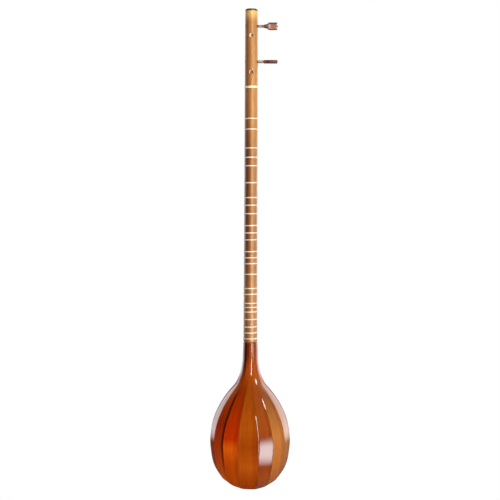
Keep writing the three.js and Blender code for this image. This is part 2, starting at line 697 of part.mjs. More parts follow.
// Strings: a loop round the pin, over the bridge and the nut, under the binding, and up to the peg
function pegEnd(peg, diameter, from) {
  const radius = windingRadius(diameter);
  if (peg.front) {
    return new THREE.Vector3(radius, -WINDING_STAND_OFF, peg.height);
  }
  const offset = new THREE.Vector2(SIDE_PEG_DEPTH - from.y, peg.height - from.z);
  const distance = offset.length();
  const aim = Math.atan2(offset.y, offset.x) + Math.asin(radius / distance);
  const run = Math.sqrt(distance ** 2 - radius ** 2);
  return new THREE.Vector3(
    -neckHalfWidth(peg.height) - WINDING_STAND_OFF,
    from.y + run * Math.cos(aim),
    from.z + run * Math.sin(aim),
  );
}

function stringPoints(index) {
  const diameter = STRING_DIAMETERS[index];
  const peg = PEG_PLACES[index];
  const onNut = NUT_RISE - NOTCH_DEPTH + WIRE_CLEARANCE + diameter / 2;
  const onBridge = BRIDGE_HEIGHT - NOTCH_DEPTH + WIRE_CLEARANCE + diameter / 2;
  const onNeck = WIRE_CLEARANCE + diameter / 2;
  const loopRadius = HOLDER_PIN_RADIUS + WIRE_CLEARANCE + diameter;
  const loopFront = HOLDER_RISE + HOLDER_PIN_LENGTH / 2;
  const bindingHalf = (BINDING_PITCH * BINDING_TURNS) / 2;
  const points = [];
  for (let step = 0; step <= LOOP_STEPS - 2; step += 1) {
    const angle = Math.PI / 3 + (2 * Math.PI * step) / LOOP_STEPS;
    points.push(
      new THREE.Vector3(
        pinX[index] + loopRadius * Math.sin(angle),
        -loopFront,
        pinZ + loopRadius * Math.cos(angle),
      ),
    );
  }
  points.push(new THREE.Vector3(bridgeStringX[index], -onBridge, BRIDGE_PLACE - BRIDGE_THICKNESS / 2));
  points.push(new THREE.Vector3(bridgeStringX[index], -onBridge, BRIDGE_PLACE));
  points.push(new THREE.Vector3(nutStringX[index], -onNut, 0));
  points.push(new THREE.Vector3(nutStringX[index], -onNut, NUT_THICKNESS));
  points.push(new THREE.Vector3(nutStringX[index], -onNeck, BINDING_HEIGHT - bindingHalf / 2));
  points.push(new THREE.Vector3(nutStringX[index], -onNeck, BINDING_HEIGHT + bindingHalf));
  if (!peg.front) {
    const edge = peg.height - SIDE_PEG_DEPTH;
    const corner = neckHalfWidth(edge) - NECK_FRONT_INSET;
    points.push(new THREE.Vector3(-corner - onNeck, -onNeck, edge));
  }
  points.push(pegEnd(peg, diameter, points[points.length - 1]));
  return points;
}

STRING_DIAMETERS.forEach((diameter, index) => {
  place(
    `string_${index + 1}`,
    wireAlong(stringPoints(index), diameter, WIRE_SIDES, STRING_UP),
    index === 1 || index === 3 ? FINISHES.brass() : FINISHES.steel(),
  );
});

// Tied frets and the binding behind the nut
FRET_OCTAVE_SHARES.forEach((octaves, index) => {
  const wound = gutRound(-fretPlace(octaves), FRET_TURNS, GUT_DIAMETER, GUT_PITCH, 0);
  const name = `fret_${String(index + 1).padStart(2, "0")}`;
  place(name, wireAlong(wound.points, GUT_DIAMETER, WINDING_SIDES, WINDING_UP), FINISHES.gut());
  console.log(`${name} least gap ${wound.gap.toFixed(2)} mm`);
});

const bindingLift = Math.max(...STRING_DIAMETERS) + WIRE_CLEARANCE;
const binding = gutRound(
  BINDING_HEIGHT,
  BINDING_TURNS,
  BINDING_GUT_DIAMETER,
  BINDING_PITCH,
  bindingLift,
);
place(
  "nut_binding",
  wireAlong(binding.points, BINDING_GUT_DIAMETER, WINDING_SIDES, WINDING_UP),
  FINISHES.gut(),
);
console.log(`nut_binding least gap ${binding.gap.toFixed(2)} mm`);

export default setar;
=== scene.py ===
# %% [markdown]
# # A setar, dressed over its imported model
# A setar is a long-necked Persian lute: a pear-shaped bowl of glued staves, a thin neck with tied
# gut frets, four pegs and four wires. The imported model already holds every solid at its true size.
# This lesson loads it as a fixed frame and lays finer pieces and real finishes over it, one by one.
# The frame stands in metres, with +Z up the neck, -Y out of the soundboard and the bowl to +Y.

# %% Load the frame
import math

import bmesh
import bpy
from mathutils import Matrix, Vector


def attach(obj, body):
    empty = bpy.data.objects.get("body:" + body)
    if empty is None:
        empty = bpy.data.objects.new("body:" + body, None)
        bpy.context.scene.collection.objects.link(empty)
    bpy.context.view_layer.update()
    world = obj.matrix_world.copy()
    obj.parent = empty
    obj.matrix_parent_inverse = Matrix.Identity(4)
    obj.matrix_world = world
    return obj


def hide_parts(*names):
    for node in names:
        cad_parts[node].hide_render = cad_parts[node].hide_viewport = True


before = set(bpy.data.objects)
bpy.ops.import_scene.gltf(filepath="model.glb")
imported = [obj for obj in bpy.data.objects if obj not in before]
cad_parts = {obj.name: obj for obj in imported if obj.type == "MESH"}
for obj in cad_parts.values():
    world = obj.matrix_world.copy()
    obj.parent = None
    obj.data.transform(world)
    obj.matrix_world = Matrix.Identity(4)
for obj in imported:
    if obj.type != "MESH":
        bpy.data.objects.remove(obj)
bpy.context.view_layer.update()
MM = 0.001
INSTRUMENT = "instrument"

# %% [markdown]
# ## Sizes that several pieces share
# The neck ends at the bowl, the bridge stands one string length below the nut, and every fret stands
# at its share of an octave. Repeating the same named values keeps each piece where its solid is.

# %% Shared sizes
STRING_LENGTH = 645 * MM
HEAD_LENGTH = 140.8 * MM
CAP_THICKNESS = 2.2 * MM
GLUE_LINE = 0.3 * MM
FRONT_PEG_HEIGHTS = [94 * MM, 29.7 * MM]
FRET_OCTAVES = [
    0.118, 0.164, 0.249, 0.293, 0.334, 0.42, 0.5, 0.543, 0.592, 0.664, 0.71, 0.755, 0.835,
    0.878, 0.921, 1.002, 1.118, 1.168, 1.25, 1.288, 1.333, 1.409, 1.49, 1.556, 1.625,
]


def fret_height(octaves):
    return -STRING_LENGTH * (1 - 2 ** -octaves)


NECK_END = fret_height(FRET_OCTAVES[-1]) - 7.3 * MM
BOWL_TOP = NECK_END - GLUE_LINE
NECK_TOP = HEAD_LENGTH - CAP_THICKNESS - GLUE_LINE
print(f"neck from {NECK_END:.4f} to {NECK_TOP:.4f} m")

# %% [markdown]
# ## Camera, light and floor
# The photograph looks square at the back of the setar from about 2.6 m, a little above its middle.
# A white surround gives the white background. What the lacquer mirrors matters as much as what lights
# it, so the two are kept apart. The surround is mirrored as a dim room with bright walls behind the
# setar, but dark straight behind it, which leaves the thin dark outline round the neck and the bowl.
# Six boxes are only mirrored: the key box is the pale window on the bowl, the low, high and top strips
# draw the line down the neck, the throat and one seam, the under strip the window's edge, and the seam
# strip the other seam's line. Three glows are never mirrored and light the wood: from the right, from
# the camera, and onto the soundboard.

# %% Camera
CAMERA_DISTANCE = 2.604
CAMERA_HEIGHT = -0.2369
CAMERA_ACROSS = 0.0012
AIM = Vector((CAMERA_ACROSS, 0.004, -0.2809))
LENS = 106.4
ROLL = math.radians(0.2)


def new_object(name, data):
    """An object with the given data, in the scene."""
    thing = bpy.data.objects.new(name, data)
    bpy.context.scene.collection.objects.link(thing)
    return thing


camera_data = bpy.data.cameras.new("camera")
camera_data.lens = LENS
camera = new_object("camera", camera_data)
camera.location = (CAMERA_ACROSS, CAMERA_DISTANCE, CAMERA_HEIGHT)
look = (AIM - camera.location).to_track_quat("-Z", "Y").to_matrix().to_4x4()
camera.matrix_world = Matrix.Translation(camera.location) @ look @ Matrix.Rotation(ROLL, 4, "Z")
bpy.context.scene.camera = camera
bpy.context.scene.view_settings.view_transform = "Standard"
print("camera at", [round(x, 3) for x in camera.location])

# %% [markdown]
# ## Node maths as plain Python
# Every finish is worked out from a few noises and masks. Wiring Math nodes by hand hides the sum, so
# a small class wraps a socket and lets the usual operators add the nodes. A table lists the operators
# and their nodes, and a loop gives them to the class. A bench adds any other node.

# %% The value


class Value:
    """The output of a node, on which Python's operators add Math nodes."""

    def __init__(self, bench, socket):
        self.bench = bench
        self.socket = socket


def math_method(operation, reflected=False):
    """A method that adds a Math node for the value and what it is reckoned with."""
    def method(self, *others):
        operands = (self, *others)
        sockets = dict(enumerate(reversed(operands) if reflected else operands))
        return self.bench.add("ShaderNodeMath", {"operation": operation}, sockets)
    return method


METHODS = {
    "__add__": "ADD", "__sub__": "SUBTRACT", "__mul__": "MULTIPLY", "__truediv__": "DIVIDE",
    "__pow__": "POWER", "__gt__": "GREATER_THAN", "at_most": "MINIMUM", "at_least": "MAXIMUM",
    "sine": "SINE", "cosine": "COSINE", "size": "ABSOLUTE", "sign": "SIGN", "whole": "FLOOR",
}
REFLECTED = {"__radd__": "ADD", "__rsub__": "SUBTRACT", "__rmul__": "MULTIPLY"}
for name, operation in METHODS.items():
    setattr(Value, name, math_method(operation))
for name, operation in REFLECTED.items():
    setattr(Value, name, math_method(operation, reflected=True))
print("a value knows", len(METHODS) + len(REFLECTED), "Math nodes")

# %% The bench


class Bench:
    """A node tree being built."""

    def __init__(self, tree):
        self.tree = tree

    def add(self, kind, settings=None, sockets=None, output=0):
        """One node: its settings first, then the values or links of its sockets."""
        node = self.tree.nodes.new(kind)
        for key, setting in (settings or {}).items():
            if key == "stops":
                ramp = node.color_ramp
                while len(ramp.elements) < len(setting):
                    ramp.elements.new(0.5)
                for element, (place, colour) in zip(ramp.elements, setting):
                    element.position = place
                    element.color = colour
            else:
                setattr(node, key, setting)
        for key, given in (sockets or {}).items():
            if isinstance(given, Value):
                self.tree.links.new(given.socket, node.inputs[key])
            else:
                node.inputs[key].default_value = given
        return Value(self, node.outputs[output]) if len(node.outputs) else node

    def split(self, vector):
        """The x, y and z of a vector."""
        node = self.add("ShaderNodeSeparateXYZ", None, {0: vector}).socket.node
        return [Value(self, socket) for socket in node.outputs]

    def vector(self, *parts):
        """A vector of up to three numbers or values."""
        return self.add("ShaderNodeCombineXYZ", None, dict(enumerate(parts)))

    def attribute(self, name):
        """A number that the mesh carries at each of its points."""
        return self.add("ShaderNodeAttribute", {"attribute_name": name}, output=2)

    def mix(self, share, first, second):
        """A colour between two colours."""
        return self.add("ShaderNodeMix", {"data_type": "RGBA"}, {0: share, 6: first, 7: second}, output=2)

    def ramp(self, value, low, high):
        """0 below low, 1 above high, and smooth between them."""
        settings = {"interpolation_type": "SMOOTHSTEP"}
        return self.add("ShaderNodeMapRange", settings, {0: value, 1: low, 2: high, 3: 0.0, 4: 1.0})


def tint(red, green, blue):
    """A colour given as the eye reads it, 0 to 255, in the linear light that shaders use."""
    return tuple((x / 255) ** 2.2 for x in (red, green, blue)) + (1.0,)


print("orange is", [round(x, 3) for x in tint(200, 90, 20)])

# %% The surround
SOFT_ROOM, SOFT_RIGHT, SOFT_BACK = 0.3, 0.25, 0.3
MIRRORED_ROOM, MIRRORED_RIGHT, MIRRORED_BACK = 0.05, 0.12, 1.9
DARK_MIDDLE = 0.75

world = bpy.data.worlds.new("white_studio")
bpy.context.scene.world = world
world.use_nodes = True
world.node_tree.nodes.clear()
studio = Bench(world.node_tree)
across, away, up = studio.split(studio.add("ShaderNodeTexCoord"))
behind = studio.ramp(0 - away, 0.5, 0.85) * (1 - DARK_MIDDLE * studio.ramp(0 - away, 0.9, 0.98))
bright = behind * studio.ramp(up, -0.14, -0.02)
to_right = studio.ramp(0 - across, -0.5, 0.9)
soft = SOFT_ROOM + SOFT_RIGHT * to_right + SOFT_BACK * studio.ramp(0 - away, 0.1, 0.9)
mirrored = MIRRORED_ROOM + MIRRORED_RIGHT * to_right + MIRRORED_BACK * bright
light_path = studio.add("ShaderNodeLightPath").socket.node.outputs
seen, glossy = Value(studio, light_path[0]), Value(studio, light_path[3])
strength = seen + glossy * mirrored + (1 - seen) * (1 - glossy) * soft
back = studio.add("ShaderNodeBackground", None, {"Color": (1, 1, 1, 1), "Strength": strength})
studio.add("ShaderNodeOutputWorld", None, {"Surface": back})
print("surround: white to the eye, brighter behind the setar than behind the camera")

# %% Lights and floor


def soft_box(name, place, aim, size, watts, warmth=(1, 1, 1)):
    """A rectangular area light that faces a point."""
    data = bpy.data.lights.new(name, "AREA")
    data.shape = "RECTANGLE"
    data.size, data.size_y = size
    data.energy = watts
    data.color = warmth
    light = new_object(name, data)
    light.location = place
    light.rotation_euler = (Vector(aim) - Vector(place)).to_track_quat("-Z", "Y").to_euler()
    return light


BOWL_MIDDLE = Vector((0, 0.08, -0.6))
LIGHT_DISTANCE = 2.2


def from_bowl(azimuth, elevation):
    """The place of a light seen from the bowl, at an azimuth to the right of the camera."""
    flat = LIGHT_DISTANCE * math.cos(math.radians(elevation))
    turn = math.radians(azimuth)
    rise = LIGHT_DISTANCE * math.sin(math.radians(elevation))
    return BOWL_MIDDLE + Vector((-flat * math.sin(turn), flat * math.cos(turn), rise))


def fade(light, share):
    """Soften a light's edges over a share of its width and height."""
    light.data.use_nodes = True
    tree = light.data.node_tree
    tree.nodes.clear()
    bench = Bench(tree)
    strength = 1.0
    for place, edge in zip(bench.split(bench.add("ShaderNodeNewGeometry", output=5)), share):
        strength = bench.ramp(place.at_most(1 - place), 0.0, edge) * strength
    glow = bench.add("ShaderNodeEmission", None, {"Strength": strength})
    bench.add("ShaderNodeOutputLight", None, {"Surface": glow})


MIRRORED = [
    ("key_box", 63, -13, (0.95, 2.5), (0.06, 0.42), 98),
    ("low_strip", 28, -2, (0.28, 1.5), (0.25, 0.25), 25),
    ("high_strip", 28, 31, (0.42, 1.6), (0.2, 0.1), 58),
    ("top_strip", 28, 58, (0.42, 0.7), (0.2, 0.1), 22),
    ("under_strip", 31, -12, (0.34, 1.5), (0.2, 0.15), 32),
    ("seam_strip", 114, 53, (0.4, 0.35), (0.1, 0.1), 9),
]
COOL_WHITE = (0.86, 0.96, 1.0)
for name, azimuth, elevation, size, share, watts in MIRRORED:
    box = soft_box(name, from_bowl(azimuth, elevation), BOWL_MIDDLE, size, watts, COOL_WHITE)
    fade(box, share)
    box.visible_diffuse = False

GLOWS = [
    ("key_glow", from_bowl(40, 0), (0, 0.05, -0.35), (1.2, 2.0), 36),
    ("front_glow", (-0.7, 2.6, -0.1), (0, 0, -0.3), (1.2, 1.0), 50),
    ("board_glow", (-0.8, -2.4, 0.8), (0, 0, -0.35), (1.4, 1.4), 55),
]
for glow in GLOWS:
    soft_box(*glow).visible_glossy = False

FLOOR_HEIGHT = -3.0
FLOOR_REACH = 12.0
floor_mesh = bpy.data.meshes.new("floor")
corners = [(x * FLOOR_REACH, y * FLOOR_REACH, FLOOR_HEIGHT) for x, y in [(-1, -1), (1, -1), (1, 1), (-1, 1)]]
floor_mesh.from_pydata(corners, [], [(0, 1, 2, 3)])
floor = new_object("floor", floor_mesh)
floor.visible_glossy = False
floor_paint = bpy.data.materials.new("pale_floor")
floor_paint.use_nodes = True
floor_shader = floor_paint.node_tree.nodes["Principled BSDF"]
PALE_FLOOR = {"Base Color": (0.9, 0.9, 0.89, 1), "Emission Color": (1, 1, 0.99, 1), "Emission Strength": 0.35}
for socket, setting in PALE_FLOOR.items():
    floor_shader.inputs[socket].default_value = setting
floor_mesh.materials.append(floor_paint)
print("mirrored boxes:", len(MIRRORED), "glows:", len(GLOWS), "floor at", FLOOR_HEIGHT)

# %% [markdown]
# ## Wood finishes
# Wood reads as wood through three scales: changes of tone, fine fibres along the grain, and short dark
# pores. All three are noises stretched along one direction. The bowl, the neck and the soundboard
# differ in colour, in how fine the fibres are and in the finish on top: the bowl has a thick clear
# lacquer, which is a coat over the wood, the neck has a thin one and the board none, only a satin.
#
# The slowest changes are no noise. Each stave has a row of colours down its length, and the neck a
# darker edge and middle and a paler end. These were set by comparing renders with the photograph, so
# they hold painted light and shade besides the wood's tone: the neck's darker edge and the dark side
# of the throat are painted shade, the red stave's orange low down is a painted reflection, and the
# amber stave has a painted shade where the window's reflection falls. The peg holes are painted
# outright as the light falls there: dark on one side and pale on the other.
#
# The boxes that the lacquer mirrors are placed for the photograph's view, and at a grazing angle they
# would white out the bowl's edge in other views. So the coat is thinned near the rims, on three staves
# of the back and towards the head. That is for the lights alone: the photograph shows no wear there.

# %% Wood
GRAIN_UP = (1, 1, 0.035)
PORE_SHADE, SEAM_SHADE = 0.55, 0.6


def new_material(name):
    """An empty material and the bench for its tree."""
    material = bpy.data.materials.new(name)
    material.use_nodes = True
    material.node_tree.nodes.clear()
    return material, Bench(material.node_tree)


def close_material(bench, **sockets):
    """The shader and the output: sockets are named as the shader names them, with _ for spaces."""
    values = {key.replace("_", " "): given for key, given in sockets.items()}
    shader = bench.add("ShaderNodeBsdfPrincipled", None, values)
    bench.add("ShaderNodeOutputMaterial", None, {"Surface": shader})


def noise(bench, where, scale, detail=2.0, roughness=0.5):
    settings = {"noise_dimensions": "3D"}
    sockets = {"Vector": where, "Scale": scale, "Detail": detail, "Roughness": roughness}
    return bench.add("ShaderNodeTexNoise", settings, sockets)


def place_on(bench, source):
    """Where a point lies, in metres: in object coordinates or on the piece's own map."""
    return bench.add("ShaderNodeTexCoord", output={"Object": 3, "UV": 2}[source])


def along_grain(bench, stretch=GRAIN_UP, source="Object"):
    """The place of a point, shortened along the grain so that noises stretch."""
    return bench.add("ShaderNodeMapping", None, {"Vector": place_on(bench, source), "Scale": stretch})


def wood(name, pale, dark, pore, source="Object", stretch=GRAIN_UP, fibre_scale=900, coat=0.0,
         roughness=0.4, seam=None, figure=0.6, bump=0.12, extra=None, coat_roughness=0.05, bands=None,
         lacquer=None):
    """Wood with tone, fibres and pores along one direction, under a clear coat of the given weight."""
    material, bench = new_material(name)
    where = along_grain(bench, stretch, source=source)
    tone = bench.ramp(noise(bench, where, 55, 3.0), 0.3, 0.7)
    fibre = bench.ramp(noise(bench, where, fibre_scale, 3.0, 0.6), 0.25, 0.75)
    pores = bench.ramp(noise(bench, where, 2.4 * fibre_scale, 1.0), 0.62, 0.74)
    share = tone * figure + fibre * (1 - figure)
    if bands:
        pale, dark = banded(bench, bands)
    colour = bench.mix(share, pale, dark)
    colour = bench.mix(pores * PORE_SHADE, colour, pore)
    if seam:
        below_throat = bench.ramp(stave_place(bench)[1], 50 * MM, 100 * MM)
        line = 1 - bench.ramp(bench.attribute("to_seam"), 0.05 * MM, 0.4 * MM)
        colour = bench.mix(line * below_throat * SEAM_SHADE, colour, seam)
    if extra:
        colour = extra(bench, colour)
    height = fibre * 0.5 - pores
    sockets = {"Strength": bump, "Distance": 0.00005, "Height": height}
    close_material(
        bench,
        Base_Color=colour,
        Roughness=roughness + 0.12 * fibre + 0.1 * pores,
        Normal=bench.add("ShaderNodeBump", None, sockets),
        Coat_Weight=lacquer(bench) if lacquer else coat,
        Coat_Roughness=coat_roughness,
        Coat_IOR=1.5,
        Specular_IOR_Level=0.5 * (1 - coat),
    )
    return material


print("helpers: new_material, close_material, noise, place_on, along_grain, wood")

# %% The staves' colours and lacquer
DARK_LINE, DARK_FIBRE, STREAK = tint(46, 14, 5), tint(60, 18, 6), tint(54, 10, 2)
THROAT = (138, 61, 14)
# Painted shade: the throat's dark side, on the darker staves.
SHADED_THROAT = (74, 18, 3)
# Besides the wood's tone these rows hold painted light: the dark first colour of the red stave is painted
# shade on the throat, the red stave's bright orange at 0.205 is a painted reflection, and the amber stave's
# dark band from 0.2 to 0.235 is painted shade under the window's reflection.
STAVE_WOODS = {
    "orange": [(0.015, THROAT), (0.05, (162, 72, 17)), (0.17, (158, 74, 17)), (0.205, (140, 60, 13)),
               (0.24, (158, 72, 19)), (0.27, (142, 58, 11))],
    "amber": [(0.015, THROAT), (0.06, (160, 74, 19)), (0.17, (142, 66, 15)), (0.2, (122, 52, 13)),
              (0.235, (122, 52, 13)), (0.26, (134, 60, 15))],
    "red": [(0.02, (112, 40, 9)), (0.05, (172, 74, 17)), (0.1, (156, 53, 8)), (0.19, (194, 52, 6)),
            (0.205, (222, 90, 18)), (0.235, (182, 70, 12)), (0.27, (174, 71, 15))],
    "honey": [(0.015, THROAT), (0.06, (164, 80, 24)), (0.1, (140, 74, 30)), (0.18, (172, 106, 48)),
              (0.27, (156, 82, 26))],
    "brown": [(0.03, SHADED_THROAT), (0.065, (166, 63, 14)), (0.1, (182, 72, 20)), (0.16, (166, 50, 16)),
              (0.2, (190, 68, 24)), (0.27, (208, 90, 33))],
}
BOWL_ARC = 0.3
DARKER = 0.5
THINNING = 0.94
STREAK_WIDTH = 7 * MM


def stave_place(bench):
    """How far across and how far down its stave a point lies, in metres."""
    return bench.split(place_on(bench, "UV"))[:2]


def banded(bench, bands):
    """A pale and a dark tone that change down the stave, as they do in the photograph, with painted light and
    shade among them.
    """
    stops = [(place / BOWL_ARC, tint(*colour)) for place, colour in bands]
    pale = bench.add("ShaderNodeValToRGB", {"stops": stops}, {0: stave_place(bench)[1] / BOWL_ARC})
    return pale, bench.mix(DARKER, pale, DARK_FIBRE)


def dark_streak(bench, colour):
    """A dark band along the edge nearer to the middle of the back, taken for heartwood."""
    across, down = stave_place(bench)
    near = (0 - across > 0) * (1 - bench.ramp(bench.attribute("to_seam"), 0.4 * STREAK_WIDTH, STREAK_WIDTH))
    fades = bench.ramp(down, 80 * MM, 110 * MM) * (1 - bench.ramp(down, 200 * MM, 260 * MM))
    return bench.mix(near * fades * 0.85, colour, STREAK)


def rim_lacquer(bench):
    """Full lacquer, thinned for the lights on the band that curls in under the bowl's widest line."""
    _, deep, height = bench.split(place_on(bench, "Object"))
    curled_in = 1 - bench.ramp(deep, 27 * MM, 36 * MM)
    beside = bench.ramp(height, -0.665, -0.645) * (1 - bench.ramp(height, -0.53, -0.49))
    return 1 - THINNING * curled_in * beside


def thinned_lacquer(bench):
    """Lacquer thinned for the lights, but whole in the throat and along one seam."""
    across, down = stave_place(bench)
    by_seam = (0 - across > 0) * (1 - bench.ramp(bench.attribute("to_seam"), 1.6 * MM, 2.6 * MM))
    in_throat = 1 - bench.ramp(down, 45 * MM, 75 * MM)
    return 0.1 + 0.9 * by_seam.at_least(in_throat)


STAVE_WOODS["streaked"] = STAVE_WOODS["brown"]
STAVE_WOODS["orange_thin"] = STAVE_WOODS["orange"]
THINNED = ("orange_thin", "red", "streaked")
STAVE_FINISHES = {
    key: wood(f"lacquered_mulberry_{key}", None, None, DARK_LINE, source="UV", stretch=(1, 0.035, 1),
              coat=1.0, roughness=0.34, seam=DARK_LINE, bump=0.05, bands=bands,
              lacquer=thinned_lacquer if key in THINNED else rim_lacquer,
              extra=dark_streak if key == "streaked" else None)
    for key, bands in STAVE_WOODS.items()
}
print("stave finishes:", ", ".join(STAVE_FINISHES))

# %% The other woods
HOLE_EDGE = 3.45 * MM
# The edge colour is painted shade for the side of the neck away from the light.
SHADED_EDGE, LOWER_WOOD, MIDDLE_WOOD = tint(104, 40, 5), tint(118, 66, 24), tint(104, 58, 20)
SHADED_WALL, LIT_WALL, PALE_END = tint(84, 38, 14), tint(255, 226, 192), tint(250, 204, 122)
PALE_GRIP = tint(138, 86, 56)


def neck_tones(bench, colour):
    """Painted shade along one edge, a darker middle, a paler end, and peg holes shaded on one side and lit on
    the other.
    """
    across, _, height = bench.split(place_on(bench, "Object"))
    middle = bench.ramp(height, -0.4, -0.25) * (1 - bench.ramp(height, -0.12, -0.02))
    upper = bench.ramp(height, 45 * MM, 95 * MM)
    # Painted shade along the side of the neck away from the light, narrower towards the head.
    edge = bench.ramp(across, upper * (5 * MM) - 3 * MM, upper * (3 * MM) + 6.5 * MM)
    colour = bench.mix(edge * (0.42 + 0.5 * middle), colour, SHADED_EDGE)
    lower = 1 - bench.ramp(height, -0.44, -0.05)
    colour = bench.mix(lower * 0.4, colour, LOWER_WOOD)
    colour = bench.mix(middle * 0.36, colour, MIDDLE_WOOD)
    wall = bench.mix(bench.ramp(across, -1.2 * MM, 1.2 * MM), SHADED_WALL, LIT_WALL)
    for place in FRONT_PEG_HEIGHTS:
        away = (across * across + (height - place) * (height - place)) ** 0.5
        colour = bench.mix((HOLE_EDGE - away > 0) * 0.9, colour, wall)
    return bench.mix(bench.ramp(height, 116 * MM, 136 * MM) * 0.5, colour, PALE_END)


def neck_lacquer(bench):
    """The neck's thin lacquer, thinner still towards the head, where the high strip would whiten it."""
    height = bench.split(place_on(bench, "Object"))[2]
    return 0.4 - 0.34 * bench.ramp(height, -0.19, -0.04)


NECK_WOOD = wood("satin_walnut_neck", tint(188, 134, 72), tint(146, 88, 36), tint(84, 44, 16),
                 fibre_scale=700, roughness=0.42, coat=0.4, coat_roughness=0.1, extra=neck_tones,
                 lacquer=neck_lacquer)
BOARD_WOOD = wood("soundboard_mulberry", tint(226, 176, 104), tint(178, 120, 58), tint(120, 72, 30),
                  stretch=(1, 1, 0.02), fibre_scale=420, roughness=0.5, figure=0.3, bump=0.2)
INNER_WOOD = wood("bare_inner_wood", tint(206, 164, 110), tint(172, 122, 70), tint(120, 76, 40),
                  roughness=0.6)
BRIDGE_WOOD = wood("boxwood_bridge", tint(214, 170, 100), tint(176, 124, 62), tint(120, 76, 34),
                   stretch=(0.05, 1, 1), fibre_scale=1200, roughness=0.4, coat=0.2, coat_roughness=0.2)


def paler_face(bench, colour):
    """The flats of a peg's grip and its cut end are paler than the rest."""
    return bench.mix(bench.attribute("paler") * 0.8, colour, PALE_GRIP)


PEG_WOOD = wood("rosewood_peg", tint(104, 50, 36), tint(48, 18, 12), tint(26, 10, 8), fibre_scale=1400,
                stretch=(1, 1, 1), roughness=0.4, coat=0.15, coat_roughness=0.2, extra=paler_face)
CAP_WOOD = wood("rosewood_cap", tint(84, 42, 26), tint(44, 20, 12), tint(24, 10, 8), fibre_scale=1400,
                stretch=(0.05, 1, 1), roughness=0.36, coat=0.4, coat_roughness=0.15)
print("woods made:", NECK_WOOD.name, BOARD_WOOD.name, PEG_WOOD.name)

# %% [markdown]
# ## Bone, gut and wire
# Bone is cream with faint brown streaks. Gut is a twisted translucent cord, near to horn. The wires
# are steel and brass: a metal needs little colour change, only fine scratches in its roughness.

# %% Bone, gut and wire


def cream(name, pale, dark, scale, roughness, coat):
    """Bone or gut: two creams mixed by a noise, with a slight polish."""
    material, bench = new_material(name)
    where = along_grain(bench, (1, 1, 0.4))
    streak = bench.ramp(noise(bench, where, scale, 3.0), 0.35, 0.7)
    grain = noise(bench, where, scale * 6, 2.0)
    sockets = {"Strength": 0.15, "Distance": 0.00004, "Height": grain}
    close_material(
        bench,
        Base_Color=bench.mix(streak, pale, dark),
        Roughness=roughness + 0.15 * grain,
        Normal=bench.add("ShaderNodeBump", None, sockets),
        Coat_Weight=coat,
        Coat_Roughness=0.15,
    )
    return material


def metal(name, bright, dull, roughness):
    """Drawn wire: a little tarnish and fine scratches."""
    material, bench = new_material(name)
    where = along_grain(bench, (1, 1, 1))
    tarnish = bench.ramp(noise(bench, where, 350, 3.0), 0.4, 0.75)
    scratch = noise(bench, where, 4000, 2.0)
    close_material(
        bench,
        Base_Color=bench.mix(tarnish * 0.5, bright, dull),
        Roughness=roughness + 0.2 * scratch,
        Metallic=1.0,
    )
    return material


BONE = cream("bone", tint(244, 236, 214), tint(226, 208, 172), 260, 0.32, 0.3)
GUT = cream("twisted_gut", tint(250, 236, 214), tint(232, 206, 170), 900, 0.36, 0.3)
BINDING_GUT = cream("binding_gut", tint(252, 244, 206), tint(236, 216, 162), 900, 0.36, 0.3)
STEEL = metal("steel_wire", tint(176, 170, 162), tint(134, 128, 122), 0.36)
BRASS = metal("brass_wire", tint(190, 168, 138), tint(146, 124, 94), 0.36)
print("creams and metals:", BONE.name, GUT.name, STEEL.name, BRASS.name)

# %% [markdown]
# ## Meshes from rings
# A lofted piece is a row of rings, each with the same number of points. One helper skins them and
# closes the ends. Another puts a finished mesh into the scene with its finish, its body and the solid
# that it stands for.

# %% Rings and pieces
SAME_PLACE = 1e-7


def faces_between(rings, count):
    """The faces between neighbours in a row of rings, each with the same count of points."""
    faces = []
    for row in range(rings - 1):
        for column in range(count):
            after = (column + 1) % count
            low, high = row * count, (row + 1) * count
            faces.append((low + column, low + after, high + after, high + column))
    return faces


def skin(name, rings, poles=False):
    """A closed mesh over rings. With poles, each end closes to the middle of its ring."""
    count = len(rings[0])
    places = [point for ring in rings for point in ring]
    faces = faces_between(len(rings), count)
    last = (len(rings) - 1) * count
    if poles:
        for start in (0, last):
            ring = places[start:start + count]
            places.append(sum(ring, Vector()) / count)
            pole = len(places) - 1
            faces += [(start + column, start + (column + 1) % count, pole) for column in range(count)]
    else:
        faces.append(tuple(range(count)))
        faces.append(tuple(range(last, last + count)))
    mesh = bpy.data.meshes.new(name)
    mesh.from_pydata([tuple(place) for place in places], [], faces)
    return put_right(mesh)


def put_right(mesh, merge=True):
    """Merge doubles and turn every face outwards."""
    work = bmesh.new()
    work.from_mesh(mesh)
    if merge:
        bmesh.ops.remove_doubles(work, verts=work.verts, dist=SAME_PLACE)
    bmesh.ops.recalc_face_normals(work, faces=work.faces)
    work.to_mesh(mesh)
    work.free()
    return mesh


def show(name, mesh, finish, body, slot, *nodes, crease):
    """Put a mesh in the scene, riding on its body in place of its solids."""
    piece = new_object(name, mesh)
    mesh.materials.clear()
    mesh.materials.append(finish)
    mesh.shade_smooth()
    mesh.set_sharp_from_angle(angle=math.radians(crease))
    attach(piece, body)
    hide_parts(*nodes)
    return piece


def plain(obj):
    """The plain mesh of an object with its modifiers, which then leaves the scene."""
    bpy.context.view_layer.update()
    shaped = obj.evaluated_get(bpy.context.evaluated_depsgraph_get())
    mesh = bpy.data.meshes.new_from_object(shaped)
    mesh.name = obj.name
    old = obj.data
    bpy.data.objects.remove(obj)
    if isinstance(old, bpy.types.Mesh):
        bpy.data.meshes.remove(old)
    else:
        bpy.data.curves.remove(old)
    return mesh


print("helpers: faces_between, skin, put_right, show, plain")

# %% [markdown]
# ## The bowl's curve
# The bowl is drawn as sections from the neck to the tail. Each row gives, as shares of the bowl's
# length, where a section meets the board and the back, then its depth, its half width and its widest
# place. Smooth curves run through the rows, so a point of the skin follows from two shares: how far
# along, and how far round from the middle of the back to the rim.

